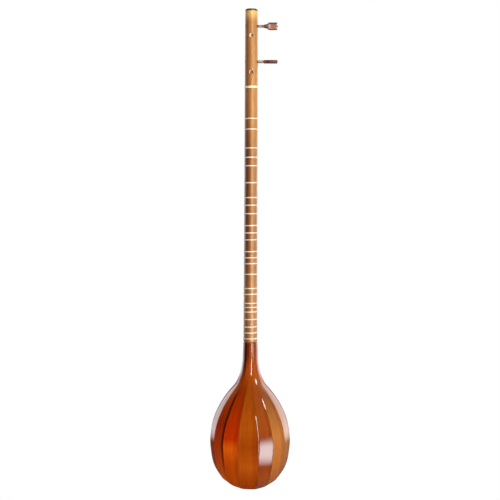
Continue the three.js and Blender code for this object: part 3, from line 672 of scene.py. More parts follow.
# %% The bowl's curve
BOWL_LENGTH = 252.8 * MM
BOWL_HALF_WIDTH = 69.8 * MM
BOWL_DEPTH = 126 * MM
RIM_PLANE = 2.1 * MM
BOWL_SECTIONS = [
    (0, 0, 0.198, 0.178, 0.15, 1.3), (0.055, 0.055, 0.202, 0.184, 0.16, 1.3),
    (0.11, 0.11, 0.212, 0.191, 0.18, 1.28), (0.16, 0.16, 0.232, 0.213, 0.2, 1.26),
    (0.2, 0.2, 0.268, 0.242, 0.22, 1.24), (0.24, 0.24, 0.33, 0.3, 0.24, 1.22),
    (0.28, 0.28, 0.42, 0.375, 0.26, 1.2), (0.32, 0.32, 0.525, 0.502, 0.27, 1.18),
    (0.36, 0.36, 0.63, 0.62, 0.28, 1.16), (0.41, 0.41, 0.745, 0.742, 0.29, 1.13),
    (0.46, 0.46, 0.84, 0.838, 0.29, 1.1), (0.52, 0.52, 0.92, 0.922, 0.29, 1.06),
    (0.59, 0.59, 0.975, 0.976, 0.29, 1.02), (0.66, 0.66, 1, 1, 0.29, 1),
    (0.725, 0.735, 0.992, 0.978, 0.29, 1), (0.785, 0.81, 0.95, 0.937, 0.29, 1),
    (0.838, 0.875, 0.875, 0.855, 0.3, 0.98), (0.88, 0.93, 0.77, 0.742, 0.32, 0.95),
    (0.912, 0.966, 0.64, 0.606, 0.35, 0.93), (0.936, 0.988, 0.49, 0.455, 0.38, 0.92),
    (0.952, 0.998, 0.33, 0.31, 0.42, 0.92), (0.962, 0.993, 0.185, 0.19, 0.44, 0.92),
    (0.967, 0.979, 0.075, 0.09, 0.45, 0.92),
]
SEAM_SHARES = [-1, -0.856, -0.705, -0.515, -0.3, -0.107, 0.154, 0.362, 0.55, 0.705, 0.856, 1]


def section_at(along):
    """The six section values at a share of the way along, on smooth curves through the rows."""
    rows = BOWL_SECTIONS
    last = len(rows) - 1
    place = min(max(along, 0), 1) * last
    index = min(int(place), last - 1)
    weight = place - index
    one, two = rows[index], rows[index + 1]
    zero = rows[index - 1] if index else [2 * a - b for a, b in zip(one, two)]
    three = rows[index + 2] if index + 2 <= last else [2 * a - b for a, b in zip(two, one)]
    found = []
    for a, b, c, d in zip(zero, one, two, three):
        start, end = (c - a) / 2, (d - b) / 2
        square = -(2 * start + end - 3 * (c - b))
        cube = 2 * (b - c) + start + end
        found.append(b + start * weight + square * weight ** 2 + cube * weight ** 3)
    return found


def bowl_point(along, seam, section=None):
    """A point of the bowl's outer skin. Seam runs from -1 to 1, from rim to rim."""
    front, rear, depth, width, widest, crowding = section or section_at(along)
    rim_turn = math.acos(-widest / (1 - widest))
    turn = rim_turn * math.copysign(abs(seam) ** crowding, seam)
    share = widest + (1 - widest) * math.cos(turn)
    length = BOWL_LENGTH * (front + (rear - front) * share)
    return Vector((
        BOWL_HALF_WIDTH * width * math.sin(turn),
        RIM_PLANE + BOWL_DEPTH * depth * share,
        BOWL_TOP - length,
    ))


print("widest point:", [round(x, 4) for x in bowl_point(0.59, 0.8)])

# %% [markdown]
# ## Staves
# The bowl is eleven bent staves, glued edge to edge. Scraping leaves each nearly flat across, so light
# jumps from stave to stave, and the lacquer rounds every seam a little, which draws a fine bright
# line. So a stave's skin lies between the chord of its seams and the true curve, with its edges eased.
# Near the neck the staves are carved round. An attribute tells the finish how far the seam is.

# %% One row of a stave
STAVE_THICKNESS = 3 * MM
ROWS_ALONG = 132
COLUMNS = [0, 0.012, 0.028, 0.05, 0.085, 0.14, 0.22, 0.32, 0.42, 0.5, 0.58, 0.68, 0.78, 0.86, 0.915, 0.95,
           0.972, 0.988, 1]
FACET_ROUNDNESS = 0.2
CARVED_FROM, CARVED_TO = 0.2, 0.48
SEAM_EASE = 1.6 * MM


def smooth_share(value, low, high):
    share = min(max((value - low) / (high - low), 0), 1)
    return share * share * (3 - 2 * share)


def facing(along, near, far, section):
    """The direction that the flat of a stave faces."""
    later, sooner = min(along + 1e-3, 1), max(along - 1e-3, 0)
    middle = (near + far) / 2
    down = bowl_point(later, middle) - bowl_point(sooner, middle)
    return (bowl_point(along, far, section) - bowl_point(along, near, section)).cross(down).normalized()


def bend_at(along, near, far, beside, section):
    """The slope that turns a stave's edge halfway towards its neighbour."""
    other = facing(along, *beside, section)
    half_turn = facing(along, near, far, section).angle(other) / 2
    return math.tan(half_turn) * (1 - FACET_ROUNDNESS)


def stave_row(along, near, far):
    """One row across a stave: skin points, points inside, distance to the seam, and place across."""
    section = section_at(along)
    first, second = bowl_point(along, near, section), bowl_point(along, far, section)
    chord = second - first
    width = chord.length
    outward = facing(along, near, far, section)
    place = SEAM_SHARES.index(near)
    bends = [0.0, 0.0]
    if place > 0:
        bends[0] = bend_at(along, near, far, (SEAM_SHARES[place - 1], near), section)
    if place < len(SEAM_SHARES) - 2:
        bends[1] = bend_at(along, near, far, (far, SEAM_SHARES[place + 2]), section)
    carved = smooth_share(section[0], CARVED_TO, CARVED_FROM)
    roundness = FACET_ROUNDNESS + (1 - FACET_ROUNDNESS) * carved
    ease = min(SEAM_EASE, 0.2 * width) * (1 - carved)
    row = []
    for share in COLUMNS:
        flat = first + chord * share
        curved = bowl_point(along, near + (far - near) * share, section)
        point = flat + (curved - flat) * roundness
        gap = min(share if near > -1 else 1, 1 - share if far < 1 else 1) * width
        if gap < ease:
            point -= outward * ((ease - gap) ** 2 / (2 * ease) * bends[0 if share < 0.5 else 1])
        row.append((point, gap, share * width - width / 2))
    inside = []
    for index, (point, _, _) in enumerate(row):
        direction = outward.copy()
        if (near == -1 and index == 0) or (far == 1 and index == len(row) - 1):
            direction.y = 0
            direction.normalize()
        inside.append(point - direction * STAVE_THICKNESS)
    return row, inside


print("rows of a stave:", ROWS_ALONG + 1, "with", len(COLUMNS), "points across")

# %% Staves
STAVE_TONES = ["brown", "orange", "honey", "honey", "amber", "orange_thin", "red", "streaked", "brown",
               "orange", "brown"]


def stave_mesh(name, near, far):
    """A closed stave, with its map in metres and each point's distance to the seam."""
    rows = [stave_row(step / ROWS_ALONG, near, far) for step in range(ROWS_ALONG + 1)]
    count = len(COLUMNS)
    places, gaps, maps = [], [], []
    length = 0
    before = None
    for row, inside in rows:
        middle = row[count // 2][0]
        length += (middle - before).length if before else 0
        before = middle
        for point, gap, aside in row:
            places.append(point)
            gaps.append(gap)
            maps.append((aside, length))
        for index, point in enumerate(reversed(inside)):
            places.append(point)
            gaps.append(0)
            maps.append((row[count - 1 - index][2], length))
    around = 2 * count
    faces = faces_between(ROWS_ALONG + 1, around)
    for start in (0, ROWS_ALONG * around):
        for column in range(count - 1):
            mirror = around - 1 - column
            faces.append((start + column, start + column + 1, start + mirror - 1, start + mirror))
    mesh = bpy.data.meshes.new(name)
    mesh.from_pydata([tuple(place) for place in places], [], faces)
    to_seam = mesh.attributes.new("to_seam", "FLOAT", "POINT")
    to_seam.data.foreach_set("value", gaps)
    layer = mesh.uv_layers.new(name="along_stave")
    for loop in mesh.loops:
        layer.data[loop.index].uv = maps[loop.vertex_index]
    return put_right(mesh, merge=False)


for index, (near, far) in enumerate(zip(SEAM_SHARES, SEAM_SHARES[1:])):
    number = f"{index + 1:02d}"
    name, finish = f"stave_{number}_lacquered", STAVE_FINISHES[STAVE_TONES[index]]
    slot = "bowl_wood_red" if index % 2 else "bowl_wood"
    show(name, stave_mesh(name, near, far), finish, INSTRUMENT, slot, f"bowl_stave_{number}", crease=40)
print("staves:", len(SEAM_SHARES) - 1)

# %% [markdown]
# ## Rules as Geometry Nodes
# The neck, the gut and the wire all follow a rule: a section swept along a length, or a cord led round
# a path. Each rule is a small Geometry Nodes tree with named inputs, so one tree serves all the pieces
# of its kind. The mesh it makes is taken out as a plain mesh, which any other program can read.

# %% Trees with named inputs
FLOAT, WHOLE = "NodeSocketFloat", "NodeSocketInt"


def new_rule(name, **inputs):
    """A geometry tree with named inputs: its bench, and a value for each input."""
    tree = bpy.data.node_groups.new(name, "GeometryNodeTree")
    face = tree.interface
    face.new_socket("Geometry", in_out="OUTPUT", socket_type="NodeSocketGeometry")
    face.new_socket("Geometry", in_out="INPUT", socket_type="NodeSocketGeometry")
    for key, kind in inputs.items():
        face.new_socket(key.replace("_", " "), in_out="INPUT", socket_type=kind)
    face.new_socket("Finish", in_out="INPUT", socket_type="NodeSocketMaterial")
    bench = Bench(tree)
    entry = tree.nodes.new("NodeGroupInput")
    given = {socket.name: Value(bench, socket) for socket in entry.outputs if socket.name}
    return bench, given


def close_rule(bench, shape, given):
    """Make the shape real, dress it and hand it over."""
    real = bench.add("GeometryNodeRealizeInstances", None, {"Geometry": shape})
    dressed = bench.add("GeometryNodeSetMaterial", None, {"Geometry": real, "Material": given["Finish"]})
    bench.add("NodeGroupOutput", None, {"Geometry": dressed})
    return bench.tree


def grow(name, tree, finish, start=None, **inputs):
    """The plain mesh that a tree makes from its named inputs."""
    host = new_object(name, start or bpy.data.meshes.new(name))
    modifier = host.modifiers.new("rule", "NODES")
    modifier.node_group = tree
    values = {key.replace("_", " "): given for key, given in inputs.items()}
    values["Finish"] = finish
    for item in tree.interface.items_tree:
        if item.in_out == "INPUT" and item.name in values:
            modifier[item.identifier] = values[item.name]
    return plain(host)


def place_at(bench, shape, x, y, z):
    """The shape with each of its points set to a place worked out from its fields."""
    sockets = {"Geometry": shape, "Position": bench.vector(x, y, z)}
    return bench.add("GeometryNodeSetPosition", None, sockets)


def cord(bench, path, diameter, sides):
    """A round cord along a path, with closed ends."""
    sockets = {"Resolution": sides, "Radius": diameter / 2}
    circle = bench.add("GeometryNodeCurvePrimitiveCircle", None, sockets)
    sockets = {"Curve": path, "Profile Curve": circle, "Fill Caps": True}
    return bench.add("GeometryNodeCurveToMesh", None, sockets)


def counted_line(bench, count):
    """A line of a counted number of points, and how far along each stands."""
    line = bench.add("GeometryNodeCurvePrimitiveLine", None, {"End": (1, 0, 0)})
    path = bench.add("GeometryNodeResampleCurve", None, {"Curve": line, "Count": count})
    return path, bench.add("GeometryNodeSplineParameter")


print("helpers: new_rule, close_rule, grow, place_at, cord, counted_line")

# %% [markdown]
# ## The neck
# The neck's back is half an ellipse and its front a nearly square superellipse, so the fingerboard is
# flat with soft edges. The section grows a little towards the bowl. A grid is bent by this rule: one
# side of it runs round the section, the other along the neck, and its last rows close the two ends.

# %% The neck's rule
NECK_TOP_HALF_WIDTH = 10.95 * MM
NECK_END_HALF_WIDTH = 12 * MM
NECK_TOP_DEPTH = 22 * MM
NECK_END_DEPTH = 26 * MM
WIDEST_DEPTH = 4 * MM
BACK_SHARE = 0.6
CORNER_POWER = 0.25
END_ROWS = 0.04
ALMOST_ROUND = 0.99999
NECK_HEART = 0.009
CLOSE_BY = 0.000002


def neck_size(height, at_top, at_end):
    """A size of the neck at a height, growing evenly from its top to its end."""
    return at_top + (at_end - at_top) * ((NECK_TOP - height) / (NECK_TOP - NECK_END))


def neck_half_width(height):
    return neck_size(height, NECK_TOP_HALF_WIDTH, NECK_END_HALF_WIDTH)


def neck_depth(height):
    return neck_size(height, NECK_TOP_DEPTH, NECK_END_DEPTH)


def section_rule(round_share, half_width, depth, off, front_lift):
    """Across and depth of a point on the neck's section, pushed off its skin."""
    in_front = round_share > BACK_SHARE
    back_turn = round_share / BACK_SHARE * math.pi
    front_turn = (round_share - BACK_SHARE) / (1 - BACK_SHARE) * math.pi
    back_x = back_turn.cosine() * (half_width + off)
    back_y = WIDEST_DEPTH + back_turn.sine() * (depth - WIDEST_DEPTH + off)
    front_cosine = front_turn.cosine()
    front_x = -1 * (half_width + off) * front_cosine.sign() * front_cosine.size() ** CORNER_POWER
    front_y = WIDEST_DEPTH - (WIDEST_DEPTH + off + front_lift) * front_turn.sine().size() ** CORNER_POWER
    x = back_x + in_front * (front_x - back_x)
    return x, back_y + in_front * (front_y - back_y)


bench, given = new_rule(
    "neck_rule", Top=FLOAT, End=FLOAT, Top_Half_Width=FLOAT, End_Half_Width=FLOAT, Top_Depth=FLOAT,
    End_Depth=FLOAT, Steps_Round=WHOLE, Steps_Along=WHOLE,
)
steps = {"Vertices X": given["Steps Round"], "Vertices Y": given["Steps Along"]}
grid = bench.add("GeometryNodeMeshGrid", None, {"Size X": 1.0, "Size Y": 1.0, **steps})
grid_x, grid_y, _ = bench.split(bench.add("GeometryNodeInputPosition"))
round_share = (grid_x + 0.5).at_least(0.0).at_most(ALMOST_ROUND)
row_share = (grid_y + 0.5) * (1 + 2 * END_ROWS) - END_ROWS
share = row_share.at_least(0.0).at_most(1.0)
beyond = (row_share - share).size() / END_ROWS
half_width = given["Top Half Width"] + share * (given["End Half Width"] - given["Top Half Width"])
depth = given["Top Depth"] + share * (given["End Depth"] - given["Top Depth"])
across, deep = section_rule(round_share, half_width, depth, 0.0, 0.0)
closing = (1 - beyond).at_least(0.0)
height = given["Top"] + share * (given["End"] - given["Top"])
bent = place_at(bench, grid, across * closing, NECK_HEART + (deep - NECK_HEART) * closing, height)
merged = bench.add("GeometryNodeMergeByDistance", None, {"Geometry": bent, "Distance": CLOSE_BY})
NECK_RULE = close_rule(bench, merged, given)
print("neck rule:", len(NECK_RULE.nodes), "nodes")

# %% [markdown]
# Pegs pass right through the head, and the nut sits in a slot. The holes are cut with rods and the
# slot with a box, so the openings are real. A hole stands a quarter of a millimetre or more off its
# shank, which tapers.

# %% The neck
SIDE_PEG_HEIGHTS = [111 * MM, 49 * MM]
SIDE_PEG_DEPTH = 10.6 * MM
PEG_HOLE_RADIUS = 2.5 * MM
PEG_HOLE_FLARE = 0.9 * MM
PEG_HOLE_FLARE_DEPTH = 1.8 * MM
NUT_THICKNESS = 2 * MM
NUT_SEAT_DEPTH = 1.4 * MM


def box_mesh(name, low, high, bevel=0.0):
    """A box between two corners, with its edges rounded."""
    mesh = bpy.data.meshes.new(name)
    work = bmesh.new()
    bmesh.ops.create_cube(work, size=1)
    low, high = Vector(low), Vector(high)
    for vert in work.verts:
        vert.co = Vector(((low[i] + high[i]) / 2 + vert.co[i] * (high[i] - low[i])) for i in range(3))
    if bevel:
        edges = list(work.edges)
        bmesh.ops.bevel(work, geom=edges, offset=bevel, segments=3, affect="EDGES", profile=0.5)
    work.to_mesh(mesh)
    work.free()
    return mesh


def rod_mesh(name, start, end, radius, end_radius=None, sides=32):
    """A round or tapered rod from one point to another."""
    start, end = Vector(start), Vector(end)
    turn = (end - start).to_track_quat("Z", "Y").to_matrix()
    rings = []
    for place, reach in ((start, radius), (end, end_radius or radius)):
        ring = [Vector((math.cos(a), math.sin(a), 0)) * reach for a in
                (2 * math.pi * step / sides for step in range(sides))]
        rings.append([place + turn @ point for point in ring])
    return skin(name, rings)


def cut(mesh, *tools):
    """A mesh less other meshes."""
    host = new_object(mesh.name, mesh)
    helpers = [new_object(tool.name, tool) for tool in tools]
    for helper in helpers:
        modifier = host.modifiers.new("cut", "BOOLEAN")
        modifier.operation, modifier.solver, modifier.object = "DIFFERENCE", "EXACT", helper
    mesh = plain(host)
    for helper in helpers:
        old = helper.data
        bpy.data.objects.remove(helper)
        bpy.data.meshes.remove(old)
    return mesh


shaft = grow("neck_shaft", NECK_RULE, NECK_WOOD, Top=NECK_TOP, End=NECK_END,
             Top_Half_Width=NECK_TOP_HALF_WIDTH, End_Half_Width=NECK_END_HALF_WIDTH,
             Top_Depth=NECK_TOP_DEPTH, End_Depth=NECK_END_DEPTH, Steps_Round=101, Steps_Along=151)
put_right(shaft)
SIDE, FRONT, BACK = 0.02, -0.01, 0.04
seat = box_mesh("seat", (-SIDE, FRONT, -GLUE_LINE), (SIDE, NUT_SEAT_DEPTH, NUT_THICKNESS + GLUE_LINE))
holes = [rod_mesh("hole", (0, FRONT, z), (0, BACK, z), PEG_HOLE_RADIUS) for z in FRONT_PEG_HEIGHTS]
holes += [rod_mesh("hole", (-SIDE, SIDE_PEG_DEPTH, z), (SIDE, SIDE_PEG_DEPTH, z), PEG_HOLE_RADIUS)
          for z in SIDE_PEG_HEIGHTS]
for z in FRONT_PEG_HEIGHTS:
    low, high = neck_depth(z) - PEG_HOLE_FLARE_DEPTH, neck_depth(z) + PEG_HOLE_FLARE_DEPTH
    flared = PEG_HOLE_RADIUS + 2 * PEG_HOLE_FLARE
    holes.append(rod_mesh("flare", (0, low, z), (0, high, z), PEG_HOLE_RADIUS, flared))
shaft = cut(shaft, seat, *holes)
show("neck_shaft", shaft, NECK_WOOD, INSTRUMENT, "neck_wood", "neck", crease=32)
print("neck vertices:", len(shaft.vertices))

# %% [markdown]
# ## Head cap
# A thin plate of dark wood closes the top of the head. It has the neck's section, with its upper edge
# eased so that it catches a line of light.

# %% Head cap


def cap_ring(height, inset, count=96):
    """A ring with the section of the neck's top, drawn in by an inset."""
    half_width = NECK_TOP_HALF_WIDTH - inset
    ring = []
    for step in range(count):
        share = step / count
        if share < BACK_SHARE:
            turn = math.pi * share / BACK_SHARE
            x = half_width * math.cos(turn)
            y = WIDEST_DEPTH + (NECK_TOP_DEPTH - WIDEST_DEPTH - inset) * math.sin(turn)
        else:
            turn = math.pi * (share - BACK_SHARE) / (1 - BACK_SHARE)
            cosine = math.cos(turn)
            x = -half_width * math.copysign(abs(cosine) ** CORNER_POWER, cosine)
            y = WIDEST_DEPTH - (WIDEST_DEPTH - inset) * math.sin(turn) ** CORNER_POWER
        ring.append(Vector((x, y, height)))
    return ring


CAP_EASE = 0.5 * MM
CAP_LIP = 0.1 * MM
EASE_STEPS = 5
rings = [cap_ring(NECK_TOP, CAP_LIP), cap_ring(NECK_TOP + CAP_LIP, 0.0)]
for step in range(EASE_STEPS + 1):
    angle = math.pi / 2 * step / EASE_STEPS
    rings.append(cap_ring(HEAD_LENGTH - CAP_EASE * (1 - math.sin(angle)), CAP_EASE * (1 - math.cos(angle))))
cap = skin("cap_plate", rings, poles=True)
show("cap_plate", cap, CAP_WOOD, INSTRUMENT, "peg_wood", "head_cap", crease=50)
print("cap from", round(NECK_TOP, 4), "to", HEAD_LENGTH)

# %% [markdown]
# ## Tied frets
# A fret is gut wound three times round the neck, level over the fingerboard and climbing behind. The
# rule walks round the neck's own section, pushed off by half the gut, so every fret fits its place.
# Seen from behind, the turns lie close together and slope a little, as tied gut does.

# %% Gut windings
BINDING_HEIGHT = 4.4 * MM
FRET_GUT = {"Gut_Diameter": 0.56 * MM, "Pitch": 0.62 * MM, "Turns": 3.0, "Clearance": 0.09 * MM,
            "Front_Lift": 0.0}
NUT_GUT = {"Gut_Diameter": 0.7 * MM, "Pitch": 0.74 * MM, "Turns": 5.0, "Clearance": 0.03 * MM,
           "Front_Lift": 0.42 * MM}

bench, given = new_rule(
    "gut_rule", Half_Width=FLOAT, Depth=FLOAT, Clearance=FLOAT, Front_Lift=FLOAT, Height=FLOAT, Turns=FLOAT,
    Pitch=FLOAT, Gut_Diameter=FLOAT, Steps_Per_Turn=WHOLE,
)
path, share = counted_line(bench, given["Turns"] * given["Steps Per Turn"] + 1)
walked = share * given["Turns"]
turn = (walked + 0.0001).whole()
round_share = (walked - turn).at_least(0.0)
off = given["Clearance"] + given["Gut Diameter"] / 2
across, deep = section_rule(round_share, given["Half Width"], given["Depth"], off, given["Front Lift"])
climb = turn + (round_share / BACK_SHARE).at_most(1.0)
bottom = given["Height"] - given["Pitch"] * given["Turns"] / 2
wound = place_at(bench, path, across, deep, bottom + given["Pitch"] * climb)
GUT_RULE = close_rule(bench, cord(bench, wound, given["Gut Diameter"], 10), given)


def wind(name, finish, height, body, node, sizes):
    """Gut wound round the neck at a height, in place of its solid."""
    gut = grow(name, GUT_RULE, finish, Half_Width=neck_half_width(height), Depth=neck_depth(height),
               Height=height, Steps_Per_Turn=50, **sizes)
    show(name, gut, finish, body, "gut", node, crease=60)
    return gut


for index, octaves in enumerate(FRET_OCTAVES):
    name = f"fret_{index + 1:02d}"
    wind(f"{name}_gut", GUT, fret_height(octaves), name, name, FRET_GUT)
gut = wind("binding_gut_wound", BINDING_GUT, BINDING_HEIGHT, INSTRUMENT, "nut_binding", NUT_GUT)
print("frets:", len(FRET_OCTAVES), "vertices in the binding:", len(gut.vertices))

# %% [markdown]
# ## Pegs
# A peg is a tapered shank with a flat grip, scooped on both faces, and a little ball at its end. It is
# lofted along its own axis: round at the neck, then flaring into a rounded rectangle. The grip's far
# edge is hollow, so each ring there is bent to follow the hollow before the rings close in the middle.
# The ball is lofted too. An attribute marks the flats of the grip, which the finish makes paler.

# %% The rings of a peg
PEG_STAND_OFF = 12 * MM
SHANK_RADIUS = 2.25 * MM
SHANK_TIP_RADIUS = 2 * MM
PEG_TIP_INSET = 1.2 * MM
GRIP_ROOT = 3.2 * MM
GRIP_HALF_WIDTH = 6.6 * MM
GRIP_HALF_THICKNESS = 3 * MM
GRIP_FLARE = 7.6 * MM
GRIP_REACH = 22.7 * MM
GRIP_HOLLOW = 1.75 * MM
GRIP_CURVE, FLARE_CURVE, SQUARENESS, SCOOP = 2.2, 2.6, 2.6, 0.3
GRIP_RINGS = 36
BUTTON_RADIUS = 1.5 * MM
BUTTON_RISE = 0.9 * MM
INSIDE_HEAD, CUT_END_RADIUS = -8 * MM, 1.9 * MM
BUTTON_RINGS, BUTTON_POINTS = 16, 24
TIP_DRAWN_IN, TIP_EASE = 0.7 * MM, 0.5 * MM
TIP_RINGS, SHANK_RINGS = 4, 12
COLLAR_LENGTH = 1.4 * MM
COLLAR = [(0.45, 1.15), (0.75, 0.8), (0.8, 0.5), (0.7, 0.2)]
GRIP_EASE = [(0.985, 0.08), (0.995, 0.25), (1.0, 0.55)]
ROUND_POINTS = 64


def grip_end(x):
    """Where the hollow far edge of the grip stands, at a place across it."""
    share = min(abs(x) / GRIP_HALF_WIDTH, 1)
    return PEG_STAND_OFF + GRIP_REACH - GRIP_HOLLOW * (1 - share ** GRIP_CURVE)


def grip_ring(along, draw_in=0.0, closing=1.0):
    """A ring of the grip at a share of its length, drawn in at its edges or closed to its middle."""
    reach = along * GRIP_REACH
    flare = min(reach / GRIP_FLARE, 1)
    half_width = GRIP_ROOT + (GRIP_HALF_WIDTH - GRIP_ROOT) * flare ** FLARE_CURVE - draw_in
    half_thick = GRIP_ROOT + (GRIP_HALF_THICKNESS - GRIP_ROOT) * flare - draw_in
    power = 2 / (2 + SQUARENESS * smooth_share(along, 0.1, 0.5))
    scoop = SCOOP * smooth_share(along, 0.3, 0.55)
    ring = []
    for step in range(ROUND_POINTS):
        turn = 2 * math.pi * step / ROUND_POINTS
        cosine, sine = math.cos(turn), math.sin(turn)
        x = half_width * math.copysign(abs(cosine) ** power, cosine)
        hollow = 1 - scoop * (1 - smooth_share(abs(x) / half_width, 0.35, 0.9))
        y = half_thick * math.copysign(abs(sine) ** power, sine) * hollow
        x, y = x * closing, y * closing
        z = PEG_STAND_OFF + (grip_end(x) - PEG_STAND_OFF) * along
        ring.append(Vector((x, y, z)))
    return ring


def round_ring(radius, height, points=ROUND_POINTS):
    turns = [2 * math.pi * step / points for step in range(points)]
    return [Vector((radius * math.cos(a), radius * math.sin(a), height)) for a in turns]


def button(height):
    """The little ball at the end of the grip, from rings."""
    turns = [math.pi * step / BUTTON_RINGS for step in range(BUTTON_RINGS + 1)]
    rings = [round_ring(BUTTON_RADIUS * math.sin(a), height - BUTTON_RADIUS * math.cos(a), BUTTON_POINTS)
             for a in turns]
    return skin("button", rings, poles=True)


def paler_share(place):
    """1 on the flats of the grip and nearly 1 on the cut end, and 0 on the shank and the two edges."""
    if place.z < INSIDE_HEAD and place.to_2d().length < CUT_END_RADIUS:
        return 0.9
    along = (place.z - PEG_STAND_OFF) / GRIP_REACH
    aside = abs(place.x) / (GRIP_HALF_WIDTH * min(0.55 + 1.4 * max(along, 0), 1))
    reach = 0.62 if place.x > 0 else 0.86
    in_length = smooth_share(along, 0.12, 0.3) * smooth_share(along, 0.97, 0.9)
    return in_length * smooth_share(aside, reach, reach - 0.2)


print("a ring of a peg has", ROUND_POINTS, "points")

# %% Pegs


def peg_mesh(name, through, matrix):
    """A peg whose shank passes through a thickness of wood."""
    tip = PEG_TIP_INSET - through
    rings = []
    for step in range(TIP_RINGS + 1):
        angle = math.pi / 2 * step / TIP_RINGS
        radius = SHANK_TIP_RADIUS - TIP_DRAWN_IN * (1 - math.sin(angle))
        rings.append(round_ring(radius, tip + TIP_EASE * (1 - math.cos(angle))))
    for step in range(1, SHANK_RINGS + 1):
        height = tip + TIP_EASE + (PEG_STAND_OFF - COLLAR_LENGTH - tip - TIP_EASE) * step / SHANK_RINGS
        radius = SHANK_TIP_RADIUS + (SHANK_RADIUS - SHANK_TIP_RADIUS) * step / SHANK_RINGS
        rings.append(round_ring(radius, height))
    for swell, drop in COLLAR:
        rings.append(round_ring(SHANK_RADIUS + swell * MM, PEG_STAND_OFF - drop * MM))
    rings += [grip_ring(step / GRIP_RINGS) for step in range(GRIP_RINGS)]
    rings += [grip_ring(along, draw_in * MM) for along, draw_in in GRIP_EASE]
    rings += [grip_ring(1.0, GRIP_EASE[-1][1] * MM, closing) for closing in (0.85, 0.65, 0.45, 0.25, 0.1)]
    mesh = skin(name, rings, poles=True)
    paler = mesh.attributes.new("paler", "FLOAT", "POINT")
    paler.data.foreach_set("value", [paler_share(vert.co) for vert in mesh.vertices])
    ball = button(grip_end(0) + BUTTON_RISE)
    work = bmesh.new()
    work.from_mesh(mesh)
    work.from_mesh(ball)
    work.to_mesh(mesh)
    work.free()
    bpy.data.meshes.remove(ball)
    mesh.transform(matrix)
    return mesh


def peg_matrix(in_front, height, turn):
    """Stands a peg on the front of the head or on its side, turned about its own axis."""
    if in_front:
        out = Matrix.Translation((0, 0, height)) @ Matrix.Rotation(math.pi / 2, 4, "X")
    else:
        out = Matrix.Translation((-neck_half_width(height), SIDE_PEG_DEPTH, height))
        out = out @ Matrix.Rotation(-math.pi / 2, 4, "Y")
    return out @ Matrix.Rotation(turn, 4, "Z")


PEGS = {
    "front_peg_upper": (True, FRONT_PEG_HEIGHTS[0], math.pi / 2),
    "front_peg_lower": (True, FRONT_PEG_HEIGHTS[1], math.pi / 3),
    "side_peg_upper": (False, SIDE_PEG_HEIGHTS[0], 0.0),
    "side_peg_lower": (False, SIDE_PEG_HEIGHTS[1], math.pi / 2),
}
peg_frames = {}
for name, (in_front, height, turn) in PEGS.items():
    through = neck_depth(height) if in_front else 2 * neck_half_width(height)
    peg_frames[name] = peg_matrix(in_front, height, 0.0)
    mesh = peg_mesh(f"{name}_turned", through, peg_matrix(in_front, height, turn))
    show(f"{name}_turned", mesh, PEG_WOOD, name, "peg_wood", name, crease=38)
print("pegs:", ", ".join(PEGS), "with", len(mesh.vertices), "vertices each")

# %% [markdown]
# ## Wire on the pegs
# Each string ends in a close coil on its peg. The coil's rule starts at the angle where the string
# comes in, so the wire reads as one. The coils turn with their pegs, and the strings stay on the body.

# %% Where each string meets its peg
STRING_DIAMETERS = [0.22 * MM, 0.26 * MM, 0.22 * MM, 0.4 * MM]
WIRES = [STEEL, BRASS, STEEL, BRASS]
WIRE_SLOTS = ["steel_wire", "brass_wire", "steel_wire", "brass_wire"]
COIL_STAND_OFF = 1.3 * MM
COIL_LENGTH = 8.9 * MM
COIL_CLOSENESS = 1.16
NUT_RISE = 1.7 * MM
BRIDGE_HEIGHT = 7.6 * MM
BRIDGE_THICKNESS = 4 * MM
NOTCH_DEPTH = 0.6 * MM
BRIDGE_HALF_LENGTH = 28 * MM
ABOVE_NECK = 0.06 * MM
DUCK_BELOW, DUCK_ABOVE = 1.2 * MM, 2 * MM
CORNER_EASE = 0.6 * MM
NUT_HALF_LENGTH = neck_half_width(0) - CORNER_EASE
NUT_STRING_SHARES = [0.58, 0.05, -0.42, -0.62]
BRIDGE_STRING_SHARES = [0.46, 0.02, -0.4, -0.5]
nut_places = [share * NUT_HALF_LENGTH for share in NUT_STRING_SHARES]
bridge_places = [share * BRIDGE_HALF_LENGTH for share in BRIDGE_STRING_SHARES]


def coil_radius(diameter):
    return SHANK_RADIUS + diameter / 2


def string_end(name, diameter, last):
    """The point where a string touches its coil, coming from its last bend."""
    in_front, height, _ = PEGS[name]
    radius = coil_radius(diameter)
    if in_front:
        return Vector((radius, -COIL_STAND_OFF, height))
    deep, rise = SIDE_PEG_DEPTH - last.y, height - last.z
    distance = math.hypot(deep, rise)
    aim = math.atan2(rise, deep) + math.asin(radius / distance)
    run = math.sqrt(distance ** 2 - radius ** 2)
    x = -neck_half_width(height) - COIL_STAND_OFF
    return Vector((x, last.y + run * math.cos(aim), last.z + run * math.sin(aim)))


def upper_route(index, name):
    """From the nut under the binding to the peg."""
    diameter = STRING_DIAMETERS[index]
    x = nut_places[index]
    on_nut = NUT_RISE - NOTCH_DEPTH + diameter / 2
    on_neck = diameter / 2 + ABOVE_NECK
    route = [Vector((x, -on_nut, z)) for z in (0, NUT_THICKNESS)]
    route += [Vector((x, -on_neck, z)) for z in (BINDING_HEIGHT - DUCK_BELOW, BINDING_HEIGHT + DUCK_ABOVE)]
    in_front, height, _ = PEGS[name]
    if not in_front:
        edge = height - SIDE_PEG_DEPTH
        corner = neck_half_width(edge) - CORNER_EASE
        route.append(Vector((-corner - on_neck, -on_neck, edge)))
    route.append(string_end(name, diameter, route[-1]))
    return route


upper_routes = [upper_route(index, name) for index, name in enumerate(PEGS)]
print("string ends:", [[round(x, 4) for x in route[-1]] for route in upper_routes])

